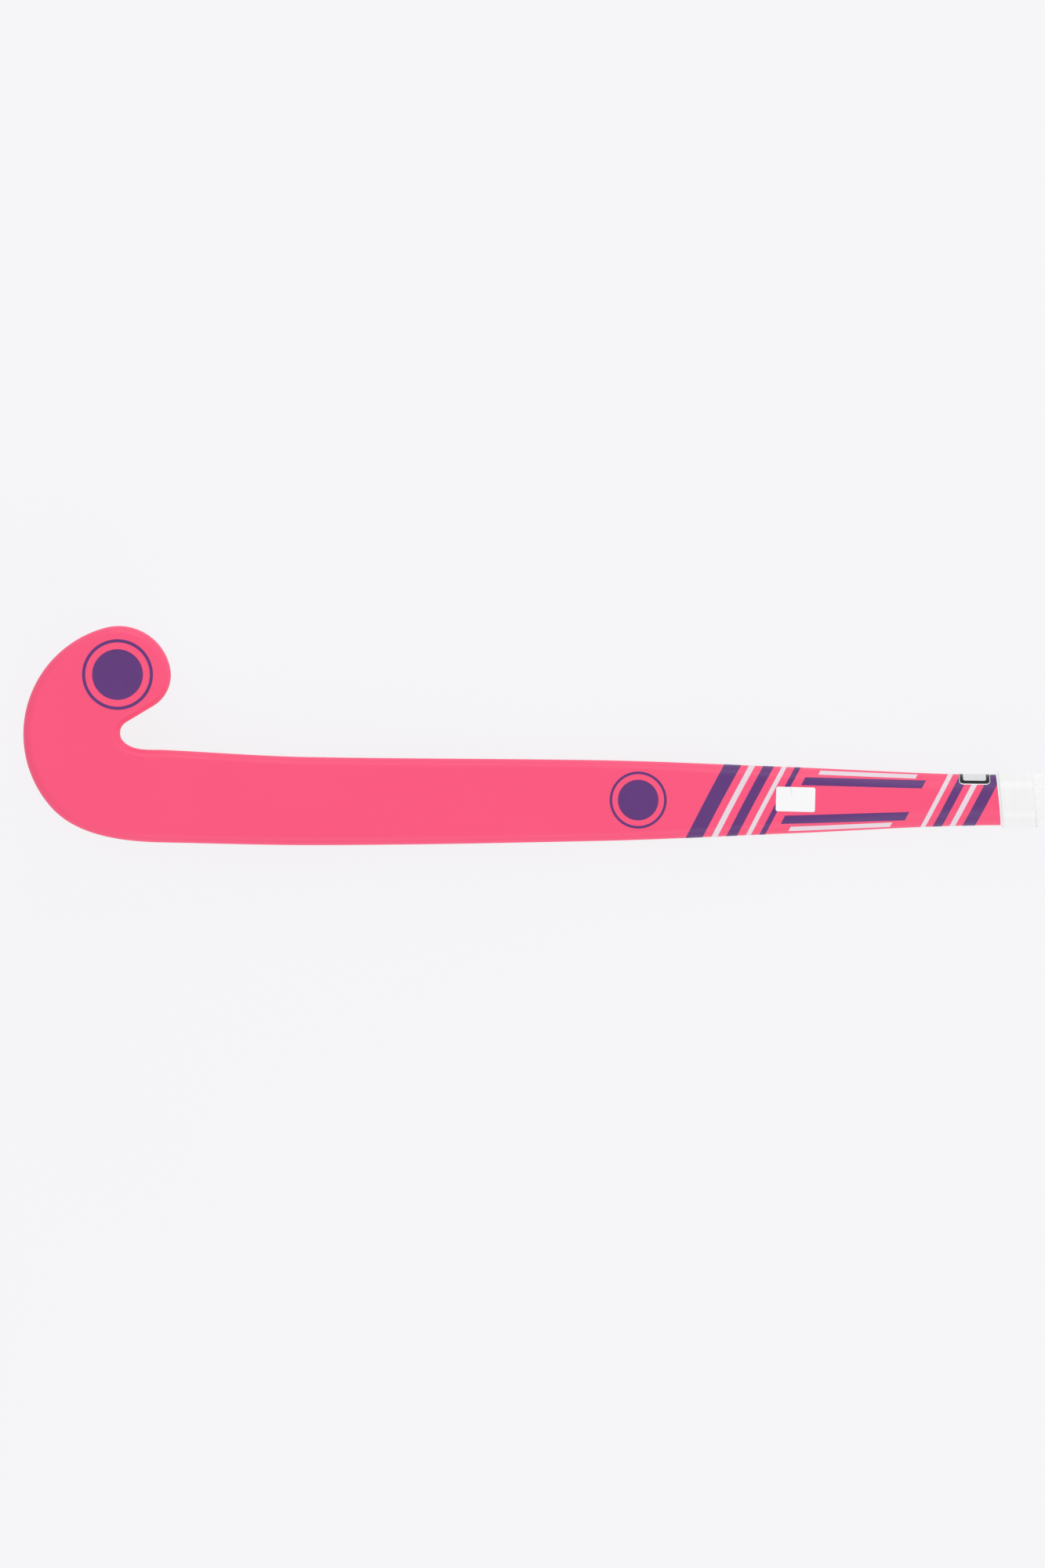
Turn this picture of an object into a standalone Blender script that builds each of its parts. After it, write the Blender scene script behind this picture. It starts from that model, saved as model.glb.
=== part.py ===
# Indoor hockey stick: hooked composite head, two-chamber shaft, wound grip.
# It lies on its rounded back with the flat playing face up. X runs from the head to the butt,
# Y towards the toe, Z up. Every size is in metres.

import math

import bmesh
import bpy
import numpy as np

# Whole stick
STICK_LENGTH = 0.927
CLEARANCE = 0.0003  # between pieces that touch on the real stick
FILM_CLEARANCE = 0.0002  # under the two stickers

# Outline of the head, seen on the playing face; heights are above the shaft's axis
HOOK_RADIUS = 0.0576
HOOK_RISE = 0.0344
NOTCH_RADIUS = 0.00645
NOTCH_PLACE = 0.0568
NOTCH_RISE = 0.0351
TOE_RADIUS = 0.0273
TOE_TURN = math.radians(105.2)  # where the hook's arc hands over to the toe's
FLANK_SLOPE = math.radians(31)  # of the straight inner edge under the toe
FLANK_FILLET = 0.0189  # between that edge and the toe's arc
HEEL_TURN = math.radians(222.7)  # where the hook's arc hands over to the shaft's edges

# Outline of the shaft: places along it, and how far each edge lies from its axis
NECK_PLACE = 0.074
SHANK_PLACE = 0.150
WAIST_PLACE = 0.300
THROAT_PLACE = 0.400
HANDLE_PLACE = 0.510
NECK_TOE_SIDE = 0.0262
SHANK_TOE_SIDE = 0.0225
WAIST_TOE_SIDE = 0.0209
THROAT_TOE_SIDE = 0.0173
HANDLE_TOE_SIDE = 0.01325
NECK_HEEL_SIDE = 0.0222
SHANK_HEEL_SIDE = 0.0236
WAIST_HEEL_SIDE = 0.02145
THROAT_HEEL_SIDE = 0.0175
HANDLE_HEEL_SIDE = 0.0132

# Section: flat face with rounded corners over a full, rounded back
TOE_THICKNESS = 0.0175
HEAD_THICKNESS = 0.0200
WAIST_THICKNESS = 0.0210
HANDLE_THICKNESS = 0.0230
EDGE_DEPTH = 0.0065  # of the widest line under the face
FACE_CORNER = 0.0050
INNER_CORNER = 0.0010  # the least corner inside the walls
CORNER_LIMIT = 0.9  # of half the width, so that some flat is left
HANDLE_FLAT = 0.0034  # what is left of the flat on top of the oval handle
BACK_POWER = 2.5
OVAL_POWER = 2.0

# Bow: the face runs down from the flat head to the belly, then climbs to the butt along the straight handle
FLAT_FACE_LENGTH = 0.085
BELLY_PLACE = 0.290
STRAIGHT_PLACE = 0.500
BOW_DROP = 0.0225

# Construction inside the skin
LAMINATE_WALL = 0.0028
CORE_LENGTH = 0.118
TUBE_WALL = 0.0010
TUBE_END_WALL = 0.0020
PLUG_FOAM_LENGTH = 0.060

# Grip
GRIP_PLACE = 0.5125
TAPE_WIDTH = 0.030
TAPE_LAP = 0.003
TAPE_THICKNESS = 0.0014
TAPE_SKIVE = 0.0014  # width of the slope beside each thinned edge
PRESSED_SHARE = 0.5  # of the tape's thickness under the finishing tape
PRESS_RELEASE = 0.014
CLIMB_PLACE = 0.532
CLIMB_LENGTH = 0.070
UNDERLAY_THICKNESS = 0.0010
FEATHER_EDGE = 0.00025

# Finishing tape over the grip's lower end
BAND_PLACE = 0.5095
BAND_LENGTH = 0.0185
BAND_THICKNESS = 0.0003
BAND_SLANT = 0.0013

# Butt cap
CAP_HEAD = 0.0080
CAP_PROUD = 0.0004
CAP_ROUNDING = 0.0022
STEM_LENGTH = 0.030
STEM_WALL = 0.0028
STEM_RIBS = 4
RIB_DEPTH = 0.0008
RIB_SLOPE = 0.0012
RIB_CREST = 0.0005

# Stickers
LABEL_PLACE = 0.4888
LABEL_LENGTH = 0.0164
LABEL_FACE_EDGE = 0.0080  # how far its edge on the face lies from the axis
LABEL_BACK_TURN = math.radians(-48)
STICKER_PLACE = 0.4033
STICKER_RISE = 0.00035
STICKER_LENGTH = 0.0205
STICKER_WIDTH = 0.0127
STICKER_CORNER = 0.0010
STICKER_TURN = math.radians(-1.5)
FILM_THICKNESS = 0.0003

# How finely the curves are divided
HOOK_STEPS = 13
FLANK_STEPS = 3
CAP_STEPS = 9
NECK_STEPS = 7
SHAFT_STEP = 0.028
CORNER_STEPS = 4
BACK_STEPS = 12
WRAP_STEPS = 18
FEATHER_STEPS = 5
CAP_ROUND_STEPS = 3
LABEL_STEPS = 11

LAMINATE_END = STICK_LENGTH - CAP_HEAD - CLEARANCE
TUBE_END = LAMINATE_END - STEM_LENGTH - CLEARANCE
HOOK_CENTRE = np.array([HOOK_RADIUS, HOOK_RISE])
NOTCH_CENTRE = np.array([NOTCH_PLACE, NOTCH_RISE])
GRIP_BUILD_UP = CLEARANCE + UNDERLAY_THICKNESS + CLEARANCE + TAPE_THICKNESS


def direction(angle):
    return np.stack([np.cos(angle), np.sin(angle)], axis=-1)


TOE_CENTRE = HOOK_CENTRE + (HOOK_RADIUS - TOE_RADIUS) * direction(TOE_TURN)


def eased(t):
    """0 to 1 with level ends."""
    t = np.clip(t, 0, 1)
    return t * t * (3 - 2 * t)


def smooth_through(places, values, x):
    """A curve through the stations that never swings past them, level beyond both ends."""
    places = np.asarray(places)
    values = np.asarray(values)
    gaps = np.diff(places)
    rises = np.diff(values) / gaps
    slopes = np.concatenate([rises[:1], np.zeros(len(places) - 2), rises[-1:]])
    before, after = rises[:-1], rises[1:]
    same_way = before * after > 0
    total = np.where(same_way, before + after, 1)
    slopes[1:-1] = np.where(same_way, 2 * before * after / total, 0)
    x = np.clip(x, places[0], places[-1])
    i = np.clip(np.searchsorted(places, x, side="right") - 1, 0, len(gaps) - 1)
    t = (x - places[i]) / gaps[i]
    start = values[i] * (1 + 2 * t) * (1 - t) ** 2 + gaps[i] * slopes[i] * t * (1 - t) ** 2
    end = values[i + 1] * (3 - 2 * t) * t**2 - gaps[i] * slopes[i + 1] * t**2 * (1 - t)
    return start + end


EDGE_PLACES = (NECK_PLACE, SHANK_PLACE, WAIST_PLACE, THROAT_PLACE, HANDLE_PLACE, STICK_LENGTH)


def toe_side(x):
    return smooth_through(
        EDGE_PLACES,
        (NECK_TOE_SIDE, SHANK_TOE_SIDE, WAIST_TOE_SIDE, THROAT_TOE_SIDE, HANDLE_TOE_SIDE, HANDLE_TOE_SIDE),
        x,
    )


def heel_side(x):
    return smooth_through(
        EDGE_PLACES,
        (NECK_HEEL_SIDE, SHANK_HEEL_SIDE, WAIST_HEEL_SIDE, THROAT_HEEL_SIDE, HANDLE_HEEL_SIDE, HANDLE_HEEL_SIDE),
        x,
    )


def thickness(x):
    return smooth_through(
        (NECK_PLACE, WAIST_PLACE, HANDLE_PLACE, STICK_LENGTH),
        (HEAD_THICKNESS, WAIST_THICKNESS, HANDLE_THICKNESS, HANDLE_THICKNESS),
        x,
    )


def ovalness(x):
    """0 where the section has its flat face, 1 on the oval handle."""
    return eased((x - WAIST_PLACE) / (HANDLE_PLACE - WAIST_PLACE))


BELLY_FACE_HEIGHT = float(thickness(BELLY_PLACE))
GRIP_REST_PLACE = CLIMB_PLACE + CLIMB_LENGTH  # the back of the grip touches the floor here
GRIP_FACE_HEIGHT = HANDLE_THICKNESS + GRIP_BUILD_UP


def bent_run(distance, bend, reach):
    """Rise along a run that curves over the bend and goes straight on, so that it is 1 at the reach."""
    rise = [np.where(way < bend, (way / bend) ** 2, 2 * way / bend - 1) for way in (distance, reach)]
    return np.where(distance > 0, rise[0], 0) / rise[1]


def face_height(x):
    """Height of the playing face over the floor: flat and sloping at the head, curved through the belly,
    straight along the handle."""
    to_head = bent_run(BELLY_PLACE - x, BELLY_PLACE - FLAT_FACE_LENGTH, BELLY_PLACE)
    to_butt = bent_run(x - BELLY_PLACE, STRAIGHT_PLACE - BELLY_PLACE, GRIP_REST_PLACE - BELLY_PLACE)
    return BELLY_FACE_HEIGHT + BOW_DROP * to_head + (GRIP_FACE_HEIGHT - BELLY_FACE_HEIGHT) * to_butt


def ray_to_hook(points, angles, inset):
    """Where rays from these points meet the hook's outer arc."""
    rays = direction(angles)
    to_centre = HOOK_CENTRE - points
    along = (rays * to_centre).sum(-1)
    off = (to_centre**2).sum(-1) - along**2
    reach = along + np.sqrt((HOOK_RADIUS - inset) ** 2 - off)
    return points + rays * reach[..., None]


def bridge(start, start_slope, end, end_slope, steps):
    """Cubic from start to end that leaves and arrives along the given directions; the ends are left out."""
    t = (np.arange(1, steps) / steps)[:, None]
    span = np.linalg.norm(end - start)
    leaving = span * start_slope * t * (1 - t) ** 2
    arriving = -span * end_slope * t**2 * (1 - t)
    return start * (1 + 2 * t) * (1 - t) ** 2 + leaving + end * (3 - 2 * t) * t**2 + arriving


def shaft_places(start, end):
    count = max(1, round((end - start) / SHAFT_STEP))
    return np.linspace(start, end, count + 1)


def head_rails(inset):
    """Outer and inner edge points of the sections from the neck round the hook to the toe, how far each section
    has faded towards the tip, and its thickness. Sections stand on both edges."""
    angles = np.linspace(HEEL_TURN, math.pi / 2 + FLANK_SLOPE, HOOK_STEPS + 1)
    inner_arc = NOTCH_CENTRE + (NOTCH_RADIUS + inset) * direction(angles)
    outer_arc = ray_to_hook(np.broadcast_to(NOTCH_CENTRE, inner_arc.shape), angles, inset)

    # The neck joins the shaft's last section to the two arcs
    neck_length = SHANK_PLACE - NECK_PLACE
    neck_outer = np.array([NECK_PLACE, inset - NECK_HEEL_SIDE])
    neck_inner = np.array([NECK_PLACE, NECK_TOE_SIDE - inset])
    outer_slope = (SHANK_HEEL_SIDE - NECK_HEEL_SIDE) / neck_length
    inner_slope = (NECK_TOE_SIDE - SHANK_TOE_SIDE) / neck_length
    to_hook = outer_arc[0] - HOOK_CENTRE
    hook_way = np.array([to_hook[1], -to_hook[0]]) / np.linalg.norm(to_hook)
    notch_way = np.array([math.sin(HEEL_TURN), -math.cos(HEEL_TURN)])
    outer_neck = bridge(neck_outer, np.array([-1, outer_slope]), outer_arc[0], hook_way, NECK_STEPS)
    inner_neck = bridge(neck_inner, np.array([-1, inner_slope]), inner_arc[0], notch_way, NECK_STEPS)

    # The straight flank under the toe
    along_flank = direction(FLANK_SLOPE)
    toe_normal = direction(TOE_TURN)
    toe_ahead = direction(TOE_TURN - math.pi / 2)
    towards_toe = TOE_CENTRE - inner_arc[-1]
    across = along_flank[0] * toe_normal[1] - along_flank[1] * toe_normal[0]
    flank_reach = (towards_toe[0] * toe_normal[1] - towards_toe[1] * toe_normal[0]) / across
    share = np.arange(1, FLANK_STEPS + 1)[:, None] / FLANK_STEPS
    flank = inner_arc[-1] + along_flank * flank_reach * share
    flank_angles = angles[-1] + (TOE_TURN - angles[-1]) * share[:, 0]
    outer_flank = ray_to_hook(flank, flank_angles, inset)

    # The toe's half round: chords across it, shorter and shorter
    radius = TOE_RADIUS - inset
    turn = np.arange(1, CAP_STEPS + 1) / (CAP_STEPS + 1) * math.pi / 2
    ahead = radius * np.sin(turn)
    half_chord = radius * np.cos(turn)
    flank_depth = np.dot(TOE_CENTRE - flank[-1], toe_normal)
    flank_turn = FLANK_SLOPE - TOE_TURN + math.pi / 2
    on_flank = flank_depth - math.tan(flank_turn) * ahead

    # Their inner ends run along the flank, round its fillet and along the toe's arc. The widest fillet is the one
    # that ends at the tip.
    flank_distance = flank_depth * math.cos(flank_turn) + inset
    widest = (flank_distance - TOE_RADIUS * math.sin(flank_turn)) / (1 - math.sin(flank_turn))
    fillet_radius = min(FLANK_FILLET, widest)
    fillet = fillet_radius - inset
    centre_reach = TOE_RADIUS - fillet_radius
    centre_turn = flank_turn + math.acos(min((flank_distance - fillet_radius) / centre_reach, 1))
    fillet_place = centre_reach * math.sin(centre_turn)
    in_fillet = np.sqrt(np.clip(fillet**2 - (ahead - fillet_place) ** 2, 0, None))
    on_fillet = centre_reach * math.cos(centre_turn) + in_fillet
    fillet_start = fillet_place + fillet * math.sin(flank_turn)
    fillet_end = radius * math.sin(centre_turn)
    past_flank = np.where(ahead < fillet_end, on_fillet, half_chord)
    inner_depth = np.where(ahead < fillet_start, on_flank, past_flank)
    chord_foot = TOE_CENTRE + toe_ahead * ahead[:, None]
    outer_cap = chord_foot + toe_normal * half_chord[:, None]
    inner_cap = chord_foot - toe_normal * inner_depth[:, None]
    tip = TOE_CENTRE + toe_ahead * radius

    outer = np.concatenate([outer_neck, outer_arc, outer_flank, outer_cap])
    inner = np.concatenate([inner_neck, inner_arc, flank, inner_cap])
    fade = np.concatenate([np.ones(len(outer) - CAP_STEPS), np.cos(turn)])
    slimming = eased(np.linspace(0, 1, len(outer)))
    thick = HEAD_THICKNESS + (TOE_THICKNESS - HEAD_THICKNESS) * slimming
    return outer, inner, fade, thick, tip


def face_depth(rho, half, edge, corner, inset):
    """Depth of the face side under the face line: flat, then a quarter ellipse down to the widest line."""
    from_edge = np.clip((1 - rho) * half / corner, 0, 1)
    return inset + (edge - inset) * (1 - np.sqrt(1 - (1 - from_edge) ** 2))


def back_depth(rho, thick, edge, power, inset):
    """Depth of the rounded back under the face line: half of a superellipse hung from the widest line."""
    return edge + (thick - edge - inset) * np.clip(1 - rho**power, 0, 1) ** (1 / power)


def section_form(x, inset):
    """Edge depth, corner radius and back power of the section at x."""
    oval = ovalness(x)
    edge = EDGE_DEPTH + (HANDLE_THICKNESS / 2 - EDGE_DEPTH) * oval
    full_corner = (HANDLE_TOE_SIDE + HANDLE_HEEL_SIDE - HANDLE_FLAT) / 2
    corner = FACE_CORNER + (full_corner - FACE_CORNER) * oval - inset
    power = BACK_POWER + (OVAL_POWER - BACK_POWER) * oval
    return edge, np.maximum(corner, INNER_CORNER), power


def chord_ring(outer, inner, x, thick, fade, inset):
    """Closed ring of points round one section that stands on the outer and the inner edge point."""
    half = np.linalg.norm(inner - outer) / 2
    edge, corner, power = section_form(x, inset)
    corner = min(corner, CORNER_LIMIT * half)
    psi = np.linspace(0, math.pi / 2, CORNER_STEPS + 1)
    round_over = 1 - corner / half * (1 - np.cos(psi))
    face = np.concatenate([-round_over, round_over[::-1]])
    theta = np.linspace(0, math.pi, BACK_STEPS + 1)[1:-1]
    back = np.sign(np.cos(theta)) * np.abs(np.cos(theta)) ** (2 / power)
    rho_face = np.sqrt(np.clip(1 - (1 - face**2) * fade**2, 0, 1))
    rho_back = np.sqrt(np.clip(1 - (1 - back**2) * fade**2, 0, 1))
    reach = half if fade == 1 else TOE_RADIUS - inset
    depth = np.concatenate(
        [
            face_depth(rho_face, reach, edge, min(corner, reach), inset),
            back_depth(rho_back, thick, edge, power, inset),
        ]
    )
    spread = np.concatenate([face, back])[:, None]
    plan = outer * (1 - spread) / 2 + inner * (1 + spread) / 2
    return np.column_stack([plan, face_height(plan[:, 0]) - depth])


def shaft_ring(x, inset):
    outer = np.array([x, inset - float(heel_side(x))])
    inner = np.array([x, float(toe_side(x)) - inset])
    return chord_ring(outer, inner, x, float(thickness(x)), 1.0, inset)


def head_rings(inset):
    """Rings from the neck to the toe, and the tip that closes them."""
    outer, inner, fade, thick, tip = head_rails(inset)
    rings = [
        chord_ring(outer[i], inner[i], NECK_PLACE, thick[i], fade[i], inset)
        for i in range(len(outer))
    ]
    pole = np.array([*tip, float(face_height(tip[0])) - EDGE_DEPTH])
    return rings, pole


def half_ring(x, inset, rib, side):
    """Ring round one half of the section: along the middle rib, the face, the edge and the back."""
    toe, heel = float(toe_side(x)), float(heel_side(x))
    middle = (toe - heel) / 2
    half = (toe + heel) / 2 - inset
    thick = float(thickness(x))
    edge, corner, power = section_form(x, inset)
    corner = min(corner, CORNER_LIMIT * (half - rib))
    psi = np.linspace(0, math.pi / 2, CORNER_STEPS + 1)
    face = np.concatenate([[rib / half], 1 - corner / half * (1 - np.cos(psi[::-1]))])
    theta = np.linspace(0, math.pi / 2, BACK_STEPS // 2 + 1)[1:]
    back = (rib + (half - rib) * np.cos(theta) ** (2 / power)) / half
    depth = np.concatenate(
        [face_depth(face, half, edge, corner, inset), back_depth(back, thick, edge, power, inset)]
    )
    spread = np.concatenate([face, back])
    places = np.full(len(spread), x)
    return np.column_stack([places, middle + side * spread * half, float(face_height(x)) - depth])


def wrap_points(x, turn, height):
    """Points at a height over the skin's surface, at places x and turns round the shaft."""
    x, turn, height = np.broadcast_arrays(
        np.asarray(x, dtype=float), np.asarray(turn, dtype=float), np.asarray(height, dtype=float)
    )
    toe, heel, thick = toe_side(x), heel_side(x), thickness(x)
    half = (toe + heel) / 2 + height
    edge, corner, power = section_form(x, -height)
    spread = np.cos(turn)
    rho = np.abs(spread)
    on_face = face_depth(rho, half, edge, corner, -height)
    on_back = back_depth(rho, thick, edge, power, -height)
    depth = np.where(np.sin(turn) >= 0, on_face, on_back)
    return np.stack([x, (toe - heel) / 2 + spread * half, face_height(x) - depth], axis=-1)


def wrap_ring(x, height, slant=0.0):
    turn = np.arange(WRAP_STEPS) / WRAP_STEPS * 2 * math.pi
    return wrap_points(x - slant * np.cos(turn), turn, height)


def material(name, colour, roughness, metallic=0.0):
    made = bpy.data.materials.new(name)
    made.use_nodes = True
    shader = made.node_tree.nodes["Principled BSDF"]
    shader.inputs["Base Color"].default_value = (*colour, 1)
    shader.inputs["Roughness"].default_value = roughness
    shader.inputs["Metallic"].default_value = metallic
    return made


class Skin:
    """Faces between rings of equal count, gathered into one closed mesh."""

    def __init__(self):
        self.mesh = bmesh.new()

    def ring(self, points):
        return [self.mesh.verts.new(p) for p in points]

    def quads(self, one, other):
        count = len(one)
        for i in range(count):
            j = (i + 1) % count
            self.mesh.faces.new((one[i], one[j], other[j], other[i]))

    def tube(self, rings):
        made = [self.ring(points) for points in rings]
        for one, other in zip(made, made[1:]):
            self.quads(one, other)
        return made[0], made[-1]

    def flat_end(self, ring):
        self.mesh.faces.new(ring)

    def pointed_end(self, ring, point):
        pole = self.mesh.verts.new(point)
        for i in range(len(ring)):
            self.mesh.faces.new((ring[i], ring[(i + 1) % len(ring)], pole))

    def finish(self, name, finish, smooth_angle=35):
        bmesh.ops.remove_doubles(self.mesh, verts=self.mesh.verts, dist=1e-7)
        bmesh.ops.recalc_face_normals(self.mesh, faces=self.mesh.faces)
        data = bpy.data.meshes.new(name)
        self.mesh.to_mesh(data)
        self.mesh.free()
        return place_object(name, data, finish, smooth_angle)


def place_object(name, data, finish, smooth_angle=35):
    piece = bpy.data.objects.new(name, data)
    data.materials.append(finish)
    data.shade_smooth()
    data.set_sharp_from_angle(angle=math.radians(smooth_angle))
    stick_parts.objects.link(piece)
    return piece


def outer_laminate():
    """Hollow moulded skin: closed at the toe, open at the butt."""
    skin = Skin()
    ends = []
    for inset in (0.0, LAMINATE_WALL):
        shaft = [shaft_ring(x, inset) for x in shaft_places(NECK_PLACE, LAMINATE_END)[::-1]]
        head, tip = head_rings(inset)
        butt, last = skin.tube(shaft + head)
        skin.pointed_end(last, tip)
        ends.append(butt)
    skin.quads(*ends)
    paint = material("pink_lacquer_over_glass_fibre", (0.94, 0.10, 0.20), 0.35)
    skin.finish("outer_laminate", paint)


def head_core():
    """Rigid foam that fills the head from the toe to the start of the chambers."""
    skin = Skin()
    inset = LAMINATE_WALL + CLEARANCE
    whole = shaft_places(NECK_PLACE, LAMINATE_END)
    places = np.append(whole[whole < CORE_LENGTH - CLEARANCE], CORE_LENGTH)
    head, tip = head_rings(inset)
    first, last = skin.tube([shaft_ring(x, inset) for x in places[::-1]] + head)
    skin.flat_end(first)
    skin.pointed_end(last, tip)
    skin.finish("head_core", material("rigid_foam", (0.80, 0.70, 0.45), 0.9))


def inner_places(start, end):
    """The skin's own stations between two places, so that the walls stay parallel."""
    whole = shaft_places(NECK_PLACE, LAMINATE_END)
    between = whole[(whole > start + CLEARANCE) & (whole < end - CLEARANCE)]
    return np.concatenate([[start], between, [end]])


def chamber_tube(name, side, finish):
    """One moulded tube of the two-chamber shaft: blind at the head, open at the butt."""
    skin = Skin()
    start = CORE_LENGTH + CLEARANCE
    outside = LAMINATE_WALL + CLEARANCE
    rib = CLEARANCE / 2
    outer_rings = [half_ring(x, outside, rib, side) for x in inner_places(start, TUBE_END)]
    bore = inner_places(start + TUBE_END_WALL, TUBE_END)
    bore_rings = [half_ring(x, outside + TUBE_WALL, rib + TUBE_WALL, side) for x in bore]
    outer_blind, outer_mouth = skin.tube(outer_rings)
    bore_blind, bore_mouth = skin.tube(bore_rings)
    skin.flat_end(outer_blind)
    skin.flat_end(bore_blind)
    skin.quads(outer_mouth, bore_mouth)
    skin.finish(name, finish)


def chamber_foam(name, side, finish):
    """Foam plug pushed into a tube's mouth."""
    skin = Skin()
    inset = LAMINATE_WALL + CLEARANCE + TUBE_WALL + CLEARANCE
    rib = CLEARANCE / 2 + TUBE_WALL + CLEARANCE
    places = inner_places(TUBE_END - PLUG_FOAM_LENGTH, TUBE_END)
    first, last = skin.tube([half_ring(x, inset, rib, side) for x in places])
    skin.flat_end(first)
    skin.flat_end(last)
    skin.finish(name, finish)


def underlay_lift(x):
    """Height of the grip tape's inner side over the skin, which climbs onto the foam underlay."""
    return CLEARANCE + (UNDERLAY_THICKNESS + CLEARANCE) * eased((x - CLIMB_PLACE) / CLIMB_LENGTH)


def grip_underlay():
    """Thin foam sleeve, feathered at its lower end."""
    skin = Skin()
    climb = np.linspace(CLIMB_PLACE, CLIMB_PLACE + CLIMB_LENGTH, 200)
    foam = underlay_lift(climb) - 2 * CLEARANCE
    feather_place = float(np.interp(FEATHER_EDGE, foam, climb))
    places = np.linspace(feather_place, climb[-1], FEATHER_STEPS + 1)
    places = np.append(places, shaft_places(climb[-1], LAMINATE_END)[1:])
    inner_first, inner_last = skin.tube([wrap_ring(x, CLEARANCE) for x in places])
    outer_first, outer_last = skin.tube([wrap_ring(x, underlay_lift(x) - CLEARANCE) for x in places])
    skin.quads(inner_first, outer_first)
    skin.quads(inner_last, outer_last)
    skin.finish("grip_underlay", material("thin_black_foam", (0.05, 0.05, 0.05), 0.95))


def tape_thickness(x):
    """Full over the handle, and pressed thin where the finishing tape holds it."""
    release = (x - BAND_PLACE - BAND_LENGTH - BAND_SLANT - CLEARANCE) / PRESS_RELEASE
    return TAPE_THICKNESS * (PRESSED_SHARE + (1 - PRESSED_SHARE) * eased(release))


def tape_profile(x_start, turn):
    """Outline of the tape across its width at one turn, cut square at the grip's two ends. Both edges are skived,
    and the butt-side edge lies on the head-side edge of the next turn."""
    low = np.clip(GRIP_PLACE - x_start, 0, TAPE_WIDTH)
    high = np.clip(LAMINATE_END - x_start, 0, TAPE_WIDTH)
    lap_end = TAPE_WIDTH - TAPE_LAP
    shoulder = TAPE_LAP + CLEARANCE + TAPE_SKIVE
    middle = (shoulder + lap_end - TAPE_SKIVE) / 2
    under = np.clip([0, middle, lap_end - CLEARANCE - TAPE_SKIVE, lap_end - CLEARANCE, TAPE_WIDTH], low, high)
    over = np.clip([TAPE_WIDTH, middle, shoulder, TAPE_LAP + CLEARANCE, 0], low, high)
    full = tape_thickness(x_start + over)
    edge = (full - CLEARANCE) / 2
    rise = np.clip((over - TAPE_LAP - CLEARANCE) / TAPE_SKIVE, 0, 1)
    top = edge + (full - edge) * rise
    lifted = np.clip((under - lap_end + CLEARANCE + TAPE_SKIVE) / TAPE_SKIVE, 0, 1)
    lip = (tape_thickness(x_start + under) + CLEARANCE) / 2
    places = x_start + np.concatenate([under, over])
    heights = underlay_lift(places) + np.concatenate([lip * lifted, top])
    return wrap_points(places, turn, heights)


def grip_tape():
    """Tape wound round the handle in one long helix."""
    skin = Skin()
    pitch = TAPE_WIDTH - TAPE_LAP
    first_turn = math.floor((GRIP_PLACE - TAPE_WIDTH) / pitch * WRAP_STEPS) + 1
    last_turn = math.ceil(LAMINATE_END / pitch * WRAP_STEPS) - 1
    rings = [
        tape_profile(pitch * step / WRAP_STEPS, 2 * math.pi * step / WRAP_STEPS)
        for step in range(first_turn, last_turn + 1)
    ]
    first, last = skin.tube(rings)
    skin.flat_end(first)
    skin.flat_end(last)
    skin.finish("grip_tape", material("white_polyurethane", (0.92, 0.92, 0.92), 0.6))


def finishing_tape():
    """Band that holds the grip's lower end: its lower part sits on the skin, the rest on the grip."""
    skin = Skin()
    on_skin = CLEARANCE
    on_grip = CLEARANCE + TAPE_THICKNESS * PRESSED_SHARE + CLEARANCE
    step = GRIP_PLACE - CLEARANCE - BAND_SLANT
    stations = (
        (BAND_PLACE, on_skin),
        (BAND_PLACE + (step - BAND_PLACE) * 0.5, on_skin),
        (step, on_grip),
        (BAND_PLACE + BAND_LENGTH, on_grip),
    )
    inner = [wrap_ring(x, height, BAND_SLANT) for x, height in stations]
    outer = [wrap_ring(x, height + BAND_THICKNESS, BAND_SLANT) for x, height in stations]
    inner_first, inner_last = skin.tube(inner)
    outer_first, outer_last = skin.tube(outer)
    skin.quads(inner_first, outer_first)
    skin.quads(inner_last, outer_last)
    skin.finish("finishing_tape", material("white_vinyl_tape", (0.93, 0.93, 0.93), 0.4))


def end_cap():
    """Rubber cap: a domed head against the butt, on a hollow ribbed stem."""
    skin = Skin()
    fit = -LAMINATE_WALL - CLEARANCE
    core = fit - RIB_DEPTH
    head_height = GRIP_BUILD_UP + CAP_PROUD
    under_head = LAMINATE_END + CLEARANCE
    stem_start = LAMINATE_END - STEM_LENGTH
    rib_pitch = STEM_LENGTH / (STEM_RIBS + 1)
    outline = [(stem_start, core)]
    for rib in range(1, STEM_RIBS + 1):
        crest = stem_start + rib_pitch * rib
        outline += [(crest - RIB_SLOPE, core), (crest, fit)]
        outline += [(crest + RIB_CREST, fit), (crest + RIB_CREST + CLEARANCE, core)]
    outline += [(under_head, core), (under_head, head_height - CLEARANCE), (under_head + CLEARANCE, head_height)]
    for angle in np.linspace(0, math.pi / 2, CAP_ROUND_STEPS + 1):
        place = STICK_LENGTH - CAP_ROUNDING * (1 - math.sin(angle))
        outline.append((place, head_height - CAP_ROUNDING * (1 - math.cos(angle))))
    stem_bore = core - STEM_WALL
    bore_end = LAMINATE_END - STEM_WALL
    first, last = skin.tube([wrap_ring(x, height) for x, height in outline])
    bore_mouth, bore_floor = skin.tube([wrap_ring(x, stem_bore) for x in (stem_start, bore_end)])
    skin.flat_end(last)
    skin.flat_end(bore_floor)
    skin.quads(first, bore_mouth)
    skin.finish("end_cap", material("white_rubber", (0.85, 0.85, 0.85), 0.7))


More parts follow.
